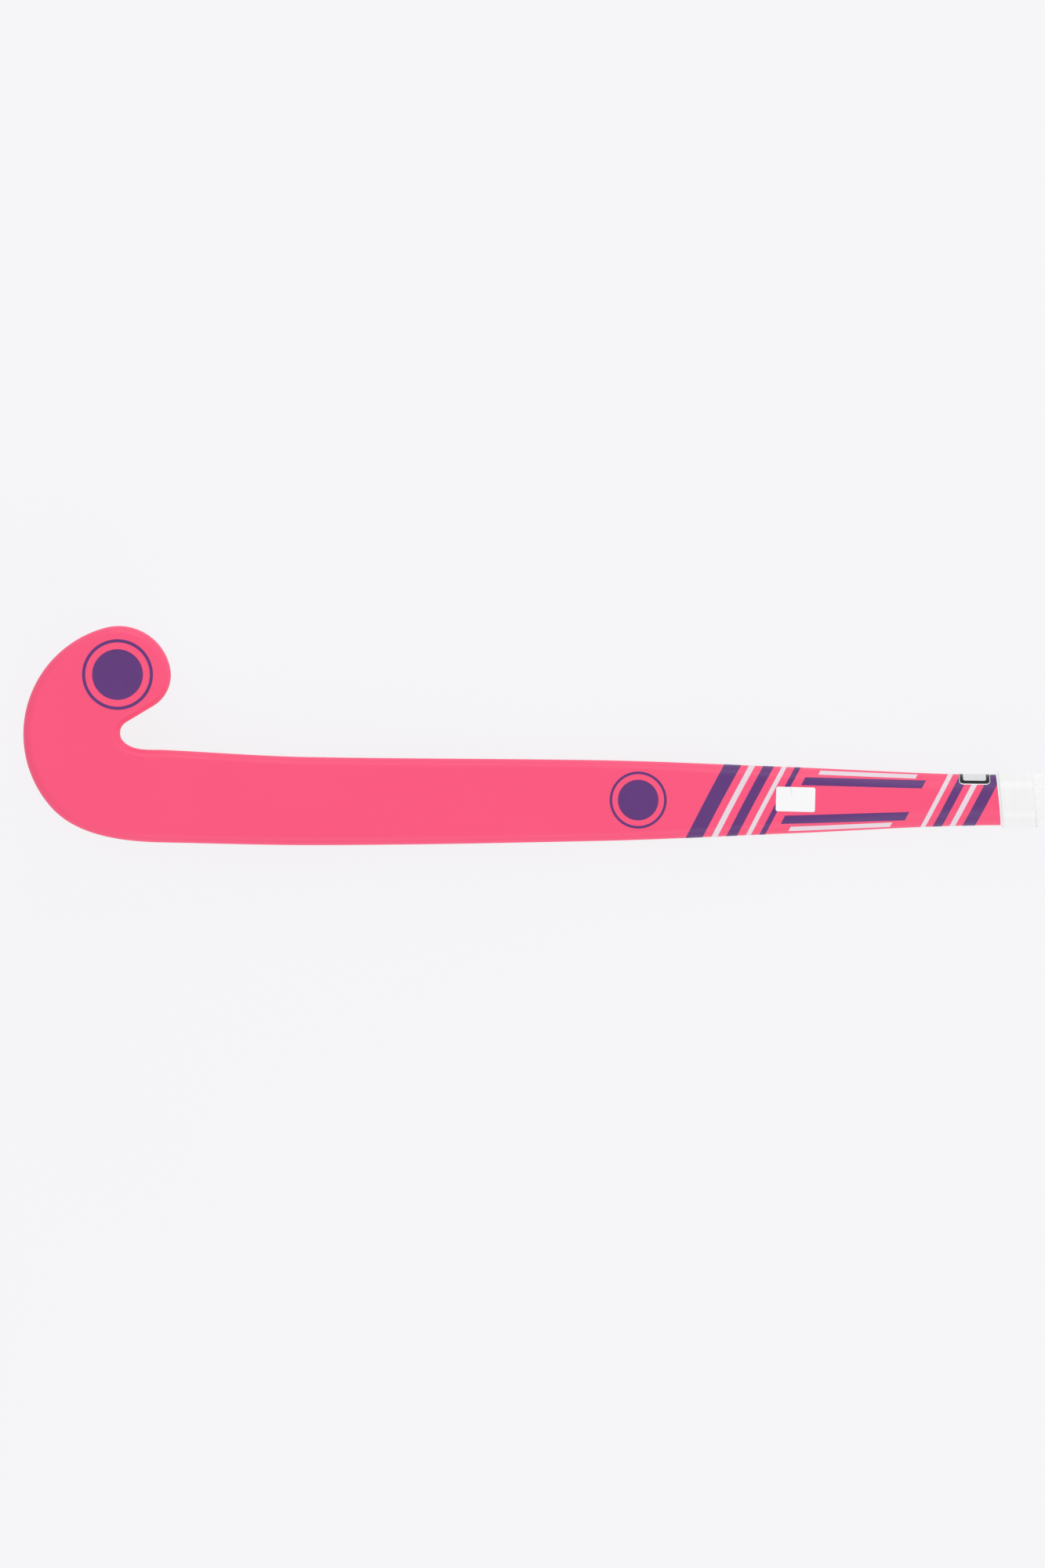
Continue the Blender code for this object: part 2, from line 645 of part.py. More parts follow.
def approval_label():
    """Thin film wrapped over the toe-side edge just below the grip."""
    skin = Skin()
    far = LABEL_PLACE + LABEL_LENGTH
    half = (HANDLE_TOE_SIDE + HANDLE_HEEL_SIDE) / 2
    turns = np.linspace(LABEL_BACK_TURN, math.acos(LABEL_FACE_EDGE / half), LABEL_STEPS)
    rings = []
    for x in np.linspace(LABEL_PLACE, far, 3):
        under = wrap_points(x, turns, FILM_CLEARANCE)
        over = wrap_points(x, turns[::-1], FILM_CLEARANCE + FILM_THICKNESS)
        rings.append(np.concatenate([under, over]))
    first, last = skin.tube(rings)
    skin.flat_end(first)
    skin.flat_end(last)
    skin.finish("approval_label", material("black_film", (0.02, 0.02, 0.02), 0.3))


def blank_sticker():
    """Plain white rounded rectangle on the flat of the face."""
    points = []
    for corner in range(4):
        way = math.pi / 4 + corner * math.pi / 2
        centre_x = math.copysign(STICKER_LENGTH / 2 - STICKER_CORNER, math.cos(way))
        centre_y = math.copysign(STICKER_WIDTH / 2 - STICKER_CORNER, math.sin(way))
        for angle in np.linspace(way - math.pi / 4, way + math.pi / 4, 5):
            x = centre_x + STICKER_CORNER * math.cos(angle)
            points.append((x, centre_y + STICKER_CORNER * math.sin(angle), 0))
    sheet = bmesh.new()
    sheet.faces.new([sheet.verts.new(p) for p in points])
    data = bpy.data.meshes.new("blank_sticker")
    sheet.to_mesh(data)
    sheet.free()
    piece = place_object("blank_sticker", data, material("white_paper", (0.95, 0.95, 0.95), 0.5))
    film = piece.modifiers.new("film", "SOLIDIFY")
    film.thickness = FILM_THICKNESS
    film.offset = 1
    reach = STICKER_LENGTH / 2
    rise = float(face_height(STICKER_PLACE + reach)) - float(face_height(STICKER_PLACE - reach))
    lift = float(face_height(STICKER_PLACE)) + FILM_CLEARANCE
    piece.location = (STICKER_PLACE, STICKER_RISE, lift)
    piece.rotation_euler = (0, -math.atan2(rise, STICKER_LENGTH), STICKER_TURN)


def set_on_floor():
    """One empty carries every piece, so that the stick stands over the middle of its own floor box."""
    bpy.context.view_layer.update()
    corners = np.array(
        [piece.matrix_world @ vertex.co for piece in stick_parts.objects for vertex in piece.data.vertices]
    )
    low, high = corners.min(axis=0), corners.max(axis=0)
    frame = bpy.data.objects.new("stick_frame", None)
    stick_parts.objects.link(frame)
    for piece in stick_parts.objects:
        if piece != frame:
            piece.parent = frame
    frame.location = (-(low[0] + high[0]) / 2, -(low[1] + high[1]) / 2, -low[2])


for old in list(bpy.data.objects):
    bpy.data.objects.remove(old)
stick_parts = bpy.data.collections.new("indoor_hockey_stick")
bpy.context.scene.collection.children.link(stick_parts)

outer_laminate()
head_core()
tube_resin = material("dark_resin_tube", (0.10, 0.10, 0.11), 0.5)
plug_foam = material("soft_white_foam", (0.85, 0.85, 0.80), 0.9)
for side_name, side_sign in (("toe_side", 1), ("heel_side", -1)):
    chamber_tube(f"chamber_tube_{side_name}", side_sign, tube_resin)
    chamber_foam(f"chamber_foam_{side_name}", side_sign, plug_foam)
grip_underlay()
grip_tape()
finishing_tape()
end_cap()
approval_label()
blank_sticker()
set_on_floor()
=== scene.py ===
# Indoor hockey stick, seen square on its flat playing face. It lies on its rounded back: X runs from the
# head to the butt, Y towards the toe, Z up, all in metres. The forms are worked out in the stick's own
# places, counted from the head's end along the shaft's axis, and then set where the frame has them.

import math

import bmesh
import bpy
import numpy as np
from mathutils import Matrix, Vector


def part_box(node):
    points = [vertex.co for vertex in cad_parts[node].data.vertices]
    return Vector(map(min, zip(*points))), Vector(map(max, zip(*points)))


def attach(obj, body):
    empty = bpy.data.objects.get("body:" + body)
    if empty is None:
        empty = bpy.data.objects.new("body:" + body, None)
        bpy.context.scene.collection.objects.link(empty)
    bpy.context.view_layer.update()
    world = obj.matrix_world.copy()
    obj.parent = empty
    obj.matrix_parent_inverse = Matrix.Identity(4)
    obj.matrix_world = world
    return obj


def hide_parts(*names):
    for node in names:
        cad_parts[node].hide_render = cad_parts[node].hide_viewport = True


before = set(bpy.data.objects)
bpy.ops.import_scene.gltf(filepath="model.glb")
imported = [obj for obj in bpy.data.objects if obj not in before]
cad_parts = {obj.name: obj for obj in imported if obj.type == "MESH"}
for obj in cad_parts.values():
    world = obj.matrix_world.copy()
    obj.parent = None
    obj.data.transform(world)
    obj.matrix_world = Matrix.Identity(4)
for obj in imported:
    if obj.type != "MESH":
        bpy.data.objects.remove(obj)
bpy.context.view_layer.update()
print("frame loaded")

# The hooked head on its face: three circles, the straight flank under the toe, and where they hand over
head = {
    "hookRadius": 0.0576,
    "hookRise": 0.0344,
    "notchRadius": 0.00645,
    "notchPlace": 0.0568,
    "notchRise": 0.0351,
    "toeRadius": 0.0273,
    "toeTurn": math.radians(105.2),
    "flankSlope": math.radians(31),
    "flankFillet": 0.0189,  # between the flank and the toe's arc
    "heelTurn": math.radians(222.7),
    "toeThickness": 0.0175,
}

# The shaft: stations along it, how far each edge lies from its axis, and its thickness
shaft = {
    "length": 0.927,
    "edgePlaces": (0.074, 0.150, 0.300, 0.400, 0.510, 0.927),
    "toeSide": (0.0262, 0.0225, 0.0209, 0.0173, 0.01325, 0.01325),
    "heelSide": (0.0222, 0.0236, 0.02145, 0.0175, 0.0132, 0.0132),
    "thickPlaces": (0.074, 0.300, 0.510, 0.927),
    "thickness": (0.0200, 0.0210, 0.0230, 0.0230),
}

# The section: a flat face with rounded corners over a full back, turning into an oval at the handle
section = {
    "edgeDepth": 0.0065,  # of the widest line under the face
    "faceCorner": 0.0050,
    "innerCorner": 0.0010,
    "cornerLimit": 0.9,  # of the half width, as the corner's radius at most
    "handleFlat": 0.0034,  # what stays flat of the face at the handle
    "backPower": 2.5,
    "ovalPower": 2.0,
    "ovalStart": 0.300,
    "ovalEnd": 0.510,
}

# The bow: flat at the head, curved through the belly, straight along the handle
bow = {
    "flatLength": 0.085,
    "belly": 0.290,
    "straight": 0.500,
    "drop": 0.0225,
    "restPlace": 0.602,  # where the handle rests on the floor
    "restHeight": 0.0260,  # of the face there
}

neckPlace = shaft["edgePlaces"][0]
hookCentre = np.array([head["hookRadius"], head["hookRise"]])
notchCentre = np.array([head["notchPlace"], head["notchRise"]])


# 0 to 1 with level ends: three times the square less twice the cube
def eased(t):
    t = np.clip(t, 0, 1)
    return t * t * (3 - 2 * t)


# Unit vector of an angle in the plane of the face
def towards(angle):
    return np.stack([np.cos(angle), np.sin(angle)], axis=-1)


toeCentre = hookCentre + (head["hookRadius"] - head["toeRadius"]) * towards(head["toeTurn"])


# Cubics through the stations: each slope is the harmonic mean of its neighbours' rises, or level at a turn
def throughStations(places, values, x):
    places, values = np.asarray(places), np.asarray(values)
    gaps = np.diff(places)
    rises = np.diff(values) / gaps
    before, after = rises[:-1], rises[1:]
    sameWay = before * after > 0
    middle = np.where(sameWay, 2 * before * after / np.where(sameWay, before + after, 1), 0)
    slopes = np.concatenate([rises[:1], middle, rises[-1:]])
    x = np.clip(x, places[0], places[-1])
    i = np.clip(np.searchsorted(places, x, side="right") - 1, 0, len(gaps) - 1)
    t = (x - places[i]) / gaps[i]
    start = values[i] * (1 + 2 * t) * (1 - t) ** 2 + gaps[i] * slopes[i] * t * (1 - t) ** 2
    end = values[i + 1] * (3 - 2 * t) * t**2 - gaps[i] * slopes[i + 1] * t**2 * (1 - t)
    return start + end


# How far the toe-side and the heel-side edge lie from the axis, by those cubics
def shaftEdges(x):
    toe = throughStations(shaft["edgePlaces"], shaft["toeSide"], x)
    heel = throughStations(shaft["edgePlaces"], shaft["heelSide"], x)
    return toe, heel


# Thickness from the face to the deepest line of the back, by those cubics
def shaftThickness(x):
    return throughStations(shaft["thickPlaces"], shaft["thickness"], x)


# Rise of a run that bends as a parabola up to the bend and goes straight on: 1 at the reach
def bentRun(distance, bend, reach):
    rise = [np.where(way < bend, (way / bend) ** 2, 2 * way / bend - 1) for way in (distance, reach)]
    return np.where(distance > 0, rise[0], 0) / rise[1]


# Height of the face over the floor: lowest at the belly, up to the head one way and to the butt the other
def faceHeight(x):
    belly = bow["belly"]
    low = shaftThickness(belly)
    toHead = bentRun(belly - x, belly - bow["flatLength"], belly)
    toButt = bentRun(x - belly, bow["straight"] - belly, bow["restPlace"] - belly)
    return low + bow["drop"] * toHead + (bow["restHeight"] - low) * toButt


# Depth of the widest line, corner radius and power of the back's curve, for a skin moved outwards
def sectionShape(x, outward):
    oval = eased((x - section["ovalStart"]) / (section["ovalEnd"] - section["ovalStart"]))
    edge = section["edgeDepth"] + (shaft["thickness"][-1] / 2 - section["edgeDepth"]) * oval
    fullCorner = (shaft["toeSide"][-1] + shaft["heelSide"][-1] - section["handleFlat"]) / 2
    corner = section["faceCorner"] + (fullCorner - section["faceCorner"]) * oval + outward
    power = section["backPower"] + (section["ovalPower"] - section["backPower"]) * oval
    return edge, np.maximum(corner, section["innerCorner"]), power


# Depth under the face line, rho being 0 on the middle line and 1 on the edge: level, then a quarter ellipse
def faceDepth(rho, half, edge, corner, outward):
    fromEdge = np.clip((1 - rho) * half / corner, 0, 1)
    return (edge + outward) * (1 - np.sqrt(1 - (1 - fromEdge) ** 2)) - outward


# The rounded back: half of a superellipse that hangs from the widest line
def backDepth(rho, thick, edge, power, outward):
    return edge + (thick - edge + outward) * np.clip(1 - rho**power, 0, 1) ** (1 / power)


# Where rays from the notch's side meet the hook's arc: the far root of the circle's equation along each ray
def rayToHook(points, angles, outward):
    rays = towards(angles)
    toCentre = hookCentre - points
    along = (rays * toCentre).sum(-1)
    offSquared = (toCentre**2).sum(-1) - along**2
    reach = along + np.sqrt((head["hookRadius"] + outward) ** 2 - offSquared)
    return points + rays * reach[..., None]


# Cubic between two points that leaves and arrives along given directions, without its ends
def bridge(start, startWay, end, endWay, steps):
    t = (np.arange(1, steps) / steps)[:, None]
    span = np.linalg.norm(end - start)
    leaving = start * (1 + 2 * t) * (1 - t) ** 2 + span * startWay * t * (1 - t) ** 2
    arriving = end * (3 - 2 * t) * t**2 - span * endWay * t**2 * (1 - t)
    return leaving + arriving


# The two edges of the head, from the neck round the hook to the toe, as matching points. The sections stand
# on them: along rays from the notch's centre, then fanned out along the flank, then chords of the toe's
# half round. A fillet joins flank and arc: its centre lies its own radius from the flank and the difference
# of both radii from the toe's centre. Fade runs from 1 to 0 over those chords, as the cosine of the way.
def headRails(outward, steps):
    flankSlope, toeTurn = head["flankSlope"], head["toeTurn"]
    angles = np.linspace(head["heelTurn"], math.pi / 2 + flankSlope, steps["hook"] + 1)
    innerArc = notchCentre + (head["notchRadius"] - outward) * towards(angles)
    outerArc = rayToHook(notchCentre, angles, outward)

    toe, heel = shaftEdges(neckPlace)
    nextPlace = shaft["edgePlaces"][1]
    nextToe, nextHeel = shaftEdges(nextPlace)
    outerSlope = (nextHeel - heel) / (nextPlace - neckPlace)
    innerSlope = (toe - nextToe) / (nextPlace - neckPlace)
    toHook = outerArc[0] - hookCentre
    hookWay = np.array([toHook[1], -toHook[0]]) / np.linalg.norm(toHook)
    notchWay = np.array([math.sin(angles[0]), -math.cos(angles[0])])
    outerNeck = np.array([neckPlace, -heel - outward])
    innerNeck = np.array([neckPlace, toe + outward])
    outerBridge = bridge(outerNeck, np.array([-1, outerSlope]), outerArc[0], hookWay, steps["neck"])
    innerBridge = bridge(innerNeck, np.array([-1, innerSlope]), innerArc[0], notchWay, steps["neck"])

    flankWay = towards(flankSlope)
    toeOut = towards(toeTurn)
    toeAhead = towards(toeTurn - math.pi / 2)
    toToe = toeCentre - innerArc[-1]
    across = flankWay[0] * toeOut[1] - flankWay[1] * toeOut[0]
    flankReach = (toToe[0] * toeOut[1] - toToe[1] * toeOut[0]) / across
    share = np.arange(1, steps["flank"] + 1)[:, None] / steps["flank"]
    flank = innerArc[-1] + flankWay * flankReach * share
    outerFlank = rayToHook(flank, angles[-1] + (toeTurn - angles[-1]) * share[:, 0], outward)

    radius = head["toeRadius"] + outward
    turn = np.arange(1, steps["cap"] + 1) / (steps["cap"] + 1) * math.pi / 2
    ahead, halfChord = radius * np.sin(turn), radius * np.cos(turn)
    flankDepth = np.dot(toeCentre - flank[-1], toeOut)
    flankTurn = flankSlope - toeTurn + math.pi / 2
    fillet = head["flankFillet"] + outward
    centreReach = head["toeRadius"] - head["flankFillet"]
    centreTurn = flankTurn + math.acos((flankDepth * math.cos(flankTurn) - fillet) / centreReach)
    filletPlace = centreReach * math.sin(centreTurn)
    inFillet = np.sqrt(np.clip(fillet**2 - (ahead - filletPlace) ** 2, 0, None))
    onFillet = centreReach * math.cos(centreTurn) + inFillet
    pastFlank = np.where(ahead < radius * math.sin(centreTurn), onFillet, halfChord)
    onFlank = flankDepth - math.tan(flankTurn) * ahead
    innerDepth = np.where(ahead < filletPlace + fillet * math.sin(flankTurn), onFlank, pastFlank)
    foot = toeCentre + toeAhead * ahead[:, None]
    outerCap = foot + toeOut * halfChord[:, None]
    innerCap = foot - toeOut * innerDepth[:, None]

    outer = np.concatenate([outerBridge, outerArc, outerFlank, outerCap])
    inner = np.concatenate([innerBridge, innerArc, flank, innerCap])
    fade = np.concatenate([np.ones(len(outer) - steps["cap"]), np.cos(turn)])
    slimming = eased(np.linspace(0, 1, len(outer)))
    thick = shaft["thickness"][0] + (head["toeThickness"] - shaft["thickness"][0]) * slimming
    return outer, inner, fade, thick, toeCentre + toeAhead * radius


# One skin of the whole stick from butt to toe, as rings across it. The face side goes along the flat and
# round its corners, the back side along a superellipse, and the last row is one point at the toe's tip.
def wholeSkin(outward, buttPlace, steps):
    x = np.linspace(buttPlace, neckPlace, steps["shaft"] + 1)
    toe, heel = shaftEdges(x)
    outer, inner, fade, thick, tip = headRails(outward, steps)
    outer = np.concatenate([np.column_stack([x, -heel - outward]), outer])
    inner = np.concatenate([np.column_stack([x, toe + outward]), inner])
    place = np.concatenate([x, np.full(len(fade), neckPlace)])[:, None]
    thick = np.concatenate([shaftThickness(x), thick])[:, None]
    fade = np.concatenate([np.ones(len(x)), fade])[:, None]

    half = np.linalg.norm(inner - outer, axis=1)[:, None] / 2
    edge, corner, power = sectionShape(place, outward)
    corner = np.minimum(corner, section["cornerLimit"] * half)
    cornerTurn = np.linspace(0, math.pi / 2, steps["corner"] + 1)
    roundOver = 1 - corner / half * (1 - np.cos(cornerTurn))
    flatShare = np.linspace(-1, 1, steps["flat"] + 1)[1:-1]
    onFace = np.concatenate([-roundOver, roundOver[:, -1:] * flatShare, roundOver[:, ::-1]], axis=1)
    backTurn = np.linspace(0, math.pi, steps["back"] + 1)[1:-1]
    onBack = np.sign(np.cos(backTurn)) * np.abs(np.cos(backTurn)) ** (2 / power)
    reach = np.where(fade == 1, half, head["toeRadius"] + outward)
    faceRho = np.sqrt(np.clip(1 - (1 - onFace**2) * fade**2, 0, 1))
    backRho = np.sqrt(np.clip(1 - (1 - onBack**2) * fade**2, 0, 1))
    underFace = faceDepth(faceRho, reach, edge, np.minimum(corner, reach), outward)
    underBack = backDepth(backRho, thick, edge, power, outward)
    depth = np.concatenate([underFace, underBack], axis=1)
    spread = np.concatenate([onFace, onBack], axis=1)[..., None]
    plan = outer[:, None] * (1 - spread) / 2 + inner[:, None] * (1 + spread) / 2
    rings = np.concatenate([plan, (faceHeight(plan[..., 0]) - depth)[..., None]], axis=-1)
    point = np.array([*tip, faceHeight(tip[0]) - section["edgeDepth"]])
    return np.concatenate([rings, np.broadcast_to(point, rings[:1].shape)])


# Points over the shaft's skin at a height, at places x and turns round it, 0 being the toe-side edge: the
# turn's cosine goes across the section, and its sign chooses the face or the back
def overShaft(x, turn, height):
    x, turn, height = np.broadcast_arrays(*(np.asarray(value, float) for value in (x, turn, height)))
    toe, heel = shaftEdges(x)
    half = (toe + heel) / 2 + height
    edge, corner, power = sectionShape(x, height)
    rho = np.abs(np.cos(turn))
    onFace = faceDepth(rho, half, edge, corner, height)
    onBack = backDepth(rho, shaftThickness(x), edge, power, height)
    depth = np.where(np.sin(turn) >= 0, onFace, onBack)
    return np.stack([x, (toe - heel) / 2 + np.cos(turn) * half, faceHeight(x) - depth], axis=-1)


# What is built up over the handle's skin, and how far the butt cap stands proud of it
gripBuild = {
    "clearance": 0.0003,
    "underlay": 0.0010,
    "tape": 0.0014,
    "capProud": 0.0004,
    "capRounding": 0.0022,
}
gripHeight = 2 * gripBuild["clearance"] + gripBuild["underlay"] + gripBuild["tape"]
capHeight = gripHeight + gripBuild["capProud"]

# The frame's own place for these forms, read off the butt cap, whose end and top are known here
capLow, capHigh = (np.array(corner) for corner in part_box("end_cap"))
capTop = faceHeight(shaft["length"] - gripBuild["capRounding"]) + capHeight
axisOffset = (shaft["toeSide"][-1] - shaft["heelSide"][-1]) / 2
capMiddle = (capLow[1] + capHigh[1]) / 2
toFrame = np.array([capHigh[0] - shaft["length"], capMiddle - axisOffset, capHigh[2] - capTop])


# How the grids become meshes: points closer than the weld distance are one, and sharper edges stay sharp
meshing = {"weldDistance": 1e-6, "sharpTurn": math.radians(40)}


# A closed mesh from a grid of points: each row is a ring, and the rows end in points or creases, or go
# round as well. Points that fall together are merged, and the sign of the enclosed volume turns the faces
# outwards.
def closedPiece(name, grid, finish, ringed=False, run=None, stands=()):
    rows, columns = grid.shape[:2]
    index = np.arange(rows * columns).reshape(rows, columns)
    below = index if ringed else index[:-1]
    above = np.roll(index, -1, axis=0) if ringed else index[1:]
    corners = [below, np.roll(below, -1, axis=1), np.roll(above, -1, axis=1), above]
    quads = np.stack(corners, axis=-1).reshape(-1, 4)
    points = grid.reshape(-1, 3) + toFrame
    a, b, c, d = points[quads.T]
    volume = (a * (np.cross(b, c) + np.cross(c, d))).sum()
    if volume < 0:
        quads = quads[:, ::-1]
    mesh = bpy.data.meshes.new(name)
    mesh.from_pydata(points.tolist(), [], quads.tolist())
    if run is not None:
        carried = mesh.attributes.new("tapeRun", "FLOAT_VECTOR", "POINT")
        carried.data.foreach_set("vector", run.astype(np.float32).ravel())
    work = bmesh.new()
    work.from_mesh(mesh)
    bmesh.ops.remove_doubles(work, verts=work.verts, dist=meshing["weldDistance"])
    bmesh.ops.dissolve_degenerate(work, edges=work.edges, dist=meshing["weldDistance"])
    work.to_mesh(mesh)
    work.free()
    mesh.shade_smooth()
    mesh.set_sharp_from_angle(angle=meshing["sharpTurn"])
    mesh.materials.append(finish)
    piece = bpy.data.objects.new(name, mesh)
    bpy.context.scene.collection.objects.link(piece)
    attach(piece, "root")
    if stands:
        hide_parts(*stands)


# Top and under side of a film on the shaft: the skin's points at the lift, and at its thickness more
def filmSides(x, turn, lift, thickness):
    return overShaft(x, turn, lift + thickness), overShaft(x, turn, lift)


# A film as rings: each row goes along its top and back under it
def filmRings(top, under):
    return np.concatenate([top, under[:, ::-1]], axis=1)


# The same for a film with two ends: both end rows are pinched to their middle line
def sheetGrid(top, under):
    rows = filmRings(top, under)
    first, last = ((row + row[::-1])[None] / 2 for row in (rows[0], rows[-1]))
    return np.concatenate([first, rows, last])


# sRGB hex to linear, by the standard curve
def hexColour(code):
    channels = np.array([int(code[i : i + 2], 16) for i in (1, 3, 5)]) / 255
    linear = np.where(channels <= 0.04045, channels / 12.92, ((channels + 0.055) / 1.055) ** 2.4)
    return (*linear.tolist(), 1.0)


# Sets each of a node's sockets, or links it where the value is another node's socket
def feed(node, sockets):
    for name, value in sockets.items():
        if isinstance(value, bpy.types.NodeSocket):
            node.id_data.links.new(value, node.inputs[name])
        else:
            node.inputs[name].default_value = value


# Adds one node, with its settings by name and its sockets
def addNode(tree, kind, sockets=None, **settings):
    made = tree.nodes.new(kind)
    for name, value in settings.items():
        setattr(made, name, value)
    feed(made, sockets or {})
    return made


# A new material with its shader's fixed values, ready for a pattern on the object's own coordinates
def startFinish(name, fixed):
    finish = bpy.data.materials.new(name)
    finish.use_nodes = True
    tree = finish.node_tree
    shader = tree.nodes["Principled BSDF"]
    feed(shader, fixed)
    place = addNode(tree, "ShaderNodeTexCoord").outputs["Object"]
    return finish, tree, shader, place


# A pattern mixes the two tones of the colour, and a relief raises the surface by up to the distance. A
# colour mix takes its colours at sockets 6 and 7 and gives the result at output 2.
def toneAndRelief(shader, pattern, tones, relief, distance, strength=1):
    tree = shader.id_data
    first, second = (hexColour(tone) for tone in tones)
    tone = addNode(tree, "ShaderNodeMix", {"Factor": pattern, 6: first, 7: second}, data_type="RGBA")
    bump = addNode(tree, "ShaderNodeBump", {"Height": relief, "Distance": distance, "Strength": strength})
    feed(shader, {"Base Color": tone.outputs[2], "Normal": bump.outputs["Normal"]})


# Lacquered glass-fibre laminate: sprayed in colour, flatted and cleared to satin. The eye gets one even,
# strong colour with a broad soft gloss, a slight orange peel, and a faint drift of tone along the laminate.
lacquer = {
    "tones": ("#FF517E", "#FB4C78"),
    "driftScale": 14,  # per metre: patches of about 70 mm
    "peelScale": 450,  # per metre: 2 mm, where the real peel is nearer 1 mm
    "peelHeight": 0.000012,
    "roughness": (0.46, 0.54),
    "ior": 1.5,
}

# Screen-printed ink under the same lacquer: flat colour with the thin and full patches of a pulled print
inks = {
    "purple": ("#54236E", "#5C2979"),
    "white": ("#E6D5DF", "#EEDFE8"),
    "patchScale": 60,  # per metre: 17 mm
}


# Noise patches carry both the tone and the gloss, and a finer noise the peel
def lacquered(name, tones, patchScale):
    finish, tree, shader, place = startFinish(name, {"IOR": lacquer["ior"]})
    noise = {"Vector": place, "Scale": patchScale, "Detail": 3}
    patches = addNode(tree, "ShaderNodeTexNoise", noise).outputs["Fac"]
    low, high = lacquer["roughness"]
    satin = addNode(tree, "ShaderNodeMapRange", {"Value": patches, "To Min": low, "To Max": high})
    fine = {"Vector": place, "Scale": lacquer["peelScale"], "Detail": 1}
    peel = addNode(tree, "ShaderNodeTexNoise", fine).outputs["Fac"]
    toneAndRelief(shader, patches, tones, peel, lacquer["peelHeight"])
    feed(shader, {"Roughness": satin.outputs["Result"]})
    return finish


pinkLacquer = lacquered("satin_lacquer_on_glass_fibre", lacquer["tones"], lacquer["driftScale"])
purpleInk = lacquered("purple_print_under_lacquer", inks["purple"], inks["patchScale"])
whiteInk = lacquered("white_print_under_lacquer", inks["white"], inks["patchScale"])

# The painted shell: the outer skin from butt to toe, and the inner wall back again
shell = {
    "wall": 0.0028,
    "butt": 0.9187,
    "ringSteps": {"flat": 34, "corner": 14, "back": 60},
    "outerSteps": {"shaft": 210, "neck": 36, "hook": 72, "flank": 22, "cap": 44},
    "innerSteps": {"shaft": 40, "neck": 9, "hook": 16, "flank": 5, "cap": 10},
}
outerSkin = wholeSkin(0, shell["butt"], shell["outerSteps"] | shell["ringSteps"])
innerSkin = wholeSkin(-shell["wall"], shell["butt"], shell["innerSteps"] | shell["ringSteps"])
bothSkins = np.concatenate([outerSkin[::-1], innerSkin])
closedPiece("painted_shell", bothSkins, pinkLacquer, stands=["outer_laminate"])
print("shell made")

# Printed films lie a hair over the skin, and bars and line ends share one lean
film = {"lift": 0.00003, "thickness": 0.00004, "lean": math.radians(28)}


# A flat ring or disc on the face: radii across, angles round, at the face's height there
def facePrint(name, centre, innerRadius, outerRadius, ink, radialSteps=6, roundSteps=120):
    angle = np.arange(roundSteps)[:, None] / roundSteps * 2 * math.pi
    radius = np.linspace(innerRadius, outerRadius, radialSteps + 1)
    x, y = centre[0] + radius * np.cos(angle), centre[1] + radius * np.sin(angle)
    under = np.stack([x, y, faceHeight(x) + film["lift"]], axis=-1)
    top = under + (0, 0, film["thickness"])
    closedPiece(name, filmRings(top, under), ink, ringed=True)


# A plain disc with a thin ring round it, on the toe and on the shaft
roundels = {
    "toe": {"centre": (0.0492, 0.0655), "ring": (0.0168, 0.0184), "disc": 0.0132},
    "shaft": {"centre": (0.3210, 0.0000), "ring": (0.0136, 0.0149), "disc": 0.0106},
}
for name, roundel in roundels.items():
    facePrint(f"{name}_roundel_ring", roundel["centre"], *roundel["ring"], purpleInk)
    facePrint(f"{name}_roundel_disc", roundel["centre"], 0, roundel["disc"], purpleInk)


# A slanted bar right round the shaft: the place moves with the cosine of the turn, as a slanted cut would
def slantedBar(name, place, width, ink, acrossSteps=6, roundSteps=160):
    turn = np.arange(roundSteps)[:, None] / roundSteps * 2 * math.pi
    toe, heel = shaftEdges(place)
    across = np.linspace(-width / 2, width / 2, acrossSteps + 1)
    x = place + across + math.tan(film["lean"]) * (toe + heel) / 2 * np.cos(turn)
    sides = filmSides(x, turn, film["lift"], film["thickness"])
    closedPiece(name, filmRings(*sides), ink, ringed=True)


# Two groups of leaning bars, wide to narrow towards the middle, in turns of purple and white
barGroups = {
    "lower": {"start": 0.3560, "widths": (0.0088, 0.0032, 0.0056, 0.0026, 0.0030), "gap": 0.0044},
    "upper": {"start": 0.4760, "widths": (0.0026, 0.0048, 0.0030, 0.0066), "gap": 0.0038},
}
for group, bars in barGroups.items():
    place = bars["start"]
    for count, width in enumerate(bars["widths"], 1):
        ink = purpleInk if (count % 2 == 1) == (group == "lower") else whiteInk
        slantedBar(f"{group}_bar_{count}", place + width / 2, width, ink)
        place += width + bars["gap"]


# A line along one side of the face, at a share of the half width, with its ends cut to the bars' lean
def edgeLine(name, side, line, ink, alongSteps=40, acrossSteps=4):
    place = np.linspace(line["start"], line["end"], alongSteps + 1)[:, None]
    toe, heel = shaftEdges(place)
    half = (toe + heel) / 2
    across = np.linspace(-line["width"] / 2, line["width"] / 2, acrossSteps + 1)
    x = place + math.tan(film["lean"]) * (side * line["share"] * half + across)
    turn = np.arccos(np.clip(side * line["share"] + across / half, -1, 1))
    closedPiece(name, sheetGrid(*filmSides(x, turn, film["lift"], film["thickness"])), ink)


edgeLines = {
    "purple": {"start": 0.4020, "end": 0.4660, "share": 0.58, "width": 0.0042},
    "white": {"start": 0.4080, "end": 0.4600, "share": 0.86, "width": 0.0022},
}
for sideName, side in (("toe_side", 1), ("heel_side", -1)):
    for colour, ink in (("purple", purpleInk), ("white", whiteInk)):
        edgeLine(f"{colour}_line_{sideName}", side, edgeLines[colour], ink)
print("prints made")

